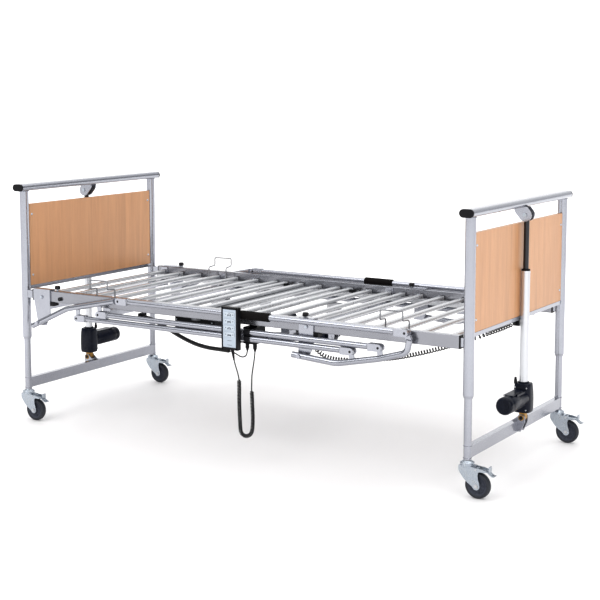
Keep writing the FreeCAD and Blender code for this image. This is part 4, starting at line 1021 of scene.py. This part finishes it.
FINISHES = (
    (COAT, ["frame_cross_tubes", "head_end_frame", "foot_end_frame", "head_leg_frame", "foot_leg_frame",
            "cot_side_clamps"]),
    (RAIL_COAT, ["near_side_rail", "far_side_rail"]),
    (SLAT, ["seat_section", "backrest_section", "thigh_section", "calf_section"]),
    (BEECH, ["head_board", "foot_board"]),
    (COAT, [f"{side}_{part}" for side in ("near", "far")
            for part in ("head_upright", "foot_upright", "bottom_bar", "middle_bar", "top_bar")]),
    (WIRE, ["head_retainers", "foot_retainers"]),
    (NAVY, ["backrest_motor", "thigh_motor"]),
    (ROD_BLACK, ["backrest_rod", "thigh_rod"]),
    (BLACK, ["locking_knobs", "tube_end_caps", "control_box", "handset_shell"]),
    (KEY_GREY, [f"handset_key_{i + 1}" for i in range(4)]),
    (ZINC, ["fasteners"]))


# ---- stage

# Focal length over the frame's width, both in picture elements.
FOCAL_RATIO = 1349.9 / 600.0
SENSOR = 36.0
CAMERA_PLACE = Vector((3.1522, -4.9239, 1.5415))
CAMERA_DOWN = 0.1184
CAMERA_TURN = 0.5579
FLOOR_HALF = 30.0
# Name, place, target, width, height and watts.
LAMPS = (("key", (-1.8, -3.6, 4.2), (0, 0, 0.5), 3.0, 2.0, 54.0),
         ("fill", (4.6, -2.2, 2.6), (0.2, 0, 0.6), 2.4, 2.4, 26.0),
         ("top", (0.2, 0.6, 4.4), (0, 0, 0.4), 5.0, 3.6, 40.0))
# Walls that the metal mirrors: bright along this direction and overhead, dark between.
BRIGHT_WAY = (-0.529, 0.848, 0.0)
OVERHEAD = (0.0, 0.0, 1.05)


def make_floor():
    """A plain pale floor with painted light: it glows weakly by the bed and more strongly away from it, a
    painted soft shadow under the bed.
    """
    size = FLOOR_HALF
    mesh = bpy.data.meshes.new("floor")
    mesh.from_pydata([(-size, -size, 0), (size, -size, 0), (size, size, 0), (-size, size, 0)], [],
                     [(0, 1, 2, 3)])
    floor = linked("floor", mesh)
    mat = new_material("floor_white", (0.80, 0.79, 0.79), 0.6, Emission_Color=(1.0, 1.0, 1.0, 1.0),
                       Specular_IOR_Level=0.2)
    g = Graph(mat)
    g.colour(g.ramp(g.noise(1.2, 2.0), [(0.3, (0.795, 0.785, 0.785)), (0.7, (0.805, 0.795, 0.795))]))
    away = g.node("VectorMath", {"Vector": g.coords}, operation="LENGTH").outputs["Value"]
    # Painted shadow under the bed: no glow within 0.9 m of the bed's centre, rising to a glow of 0.5 at 3.2
    # m.
    g.tree.links.new(g.spread(away, 0.0, 0.5, 0.9, 3.2), g.shader.inputs["Emission Strength"])
    mesh.materials.append(mat)


def make_world():
    world = bpy.data.worlds.new("studio")
    bpy.context.scene.world = world
    world.use_nodes = True
    g = Graph(world)
    sight = g.coords.node.outputs["Generated"]
    reach = []
    for axis in (OVERHEAD, BRIGHT_WAY):
        made = g.node("VectorMath", {"Vector": sight}, operation="DOT_PRODUCT")
        made.inputs[1].default_value = axis
        reach.append(made.outputs["Value"])
    sky = g.add(reach[0], g.add(reach[1], 0.0, "ABSOLUTE"), "MAXIMUM")
    walls = g.ramp(sky, [(0.2, (0.055, 0.06, 0.075)), (0.9, (1.0, 1.0, 1.0))])
    g.tree.links.new(walls, g.tree.nodes["Background"].inputs["Color"])


def make_lights():
    for name, place, target, size_x, size_y, watts in LAMPS:
        lamp = bpy.data.lights.new(name, "AREA")
        lamp.shape = "RECTANGLE"
        lamp.size = size_x
        lamp.size_y = size_y
        lamp.energy = watts
        obj = linked(name, lamp)
        obj.location = place
        obj.rotation_euler = (Vector(target) - Vector(place)).to_track_quat("-Z", "Y").to_euler()


def make_camera():
    """The photograph's camera, and the contrast of its studio."""
    camera = bpy.data.cameras.new("camera")
    camera.sensor_width = SENSOR
    camera.lens = FOCAL_RATIO * SENSOR
    camera.shift_y = -0.1
    camera.clip_end = 100.0
    tones = bpy.context.scene.view_settings
    tones.view_transform = "Standard"
    tones.look = "Medium High Contrast"
    tones.exposure = 0.2
    view = linked("camera", camera)
    view.location = CAMERA_PLACE - Vector((CENTRE_X, CENTRE_Y, 0)) * MM
    view.rotation_euler = (math.pi / 2 - CAMERA_DOWN, 0.0, CAMERA_TURN)
    bpy.context.scene.camera = view


make_floor()
make_world()
make_lights()
make_camera()
make_cords()
for finish, node_names in FINISHES:
    for node_name in node_names:
        slots = NODES[node_name].data.materials
        slots.clear()
        slots.append(finish)
for end_name in POST:
    for side_name in POST_Y:
        make_fork(end_name, side_name)
        make_wheel(end_name, side_name)
        make_brake(end_name, side_name)
make_lifts()
make_cot_details()
make_clamp_details()
make_knobs()
make_handset()
make_box_details()
make_slat_details()
make_hinge_covers()
make_drive_details()
make_end_details()
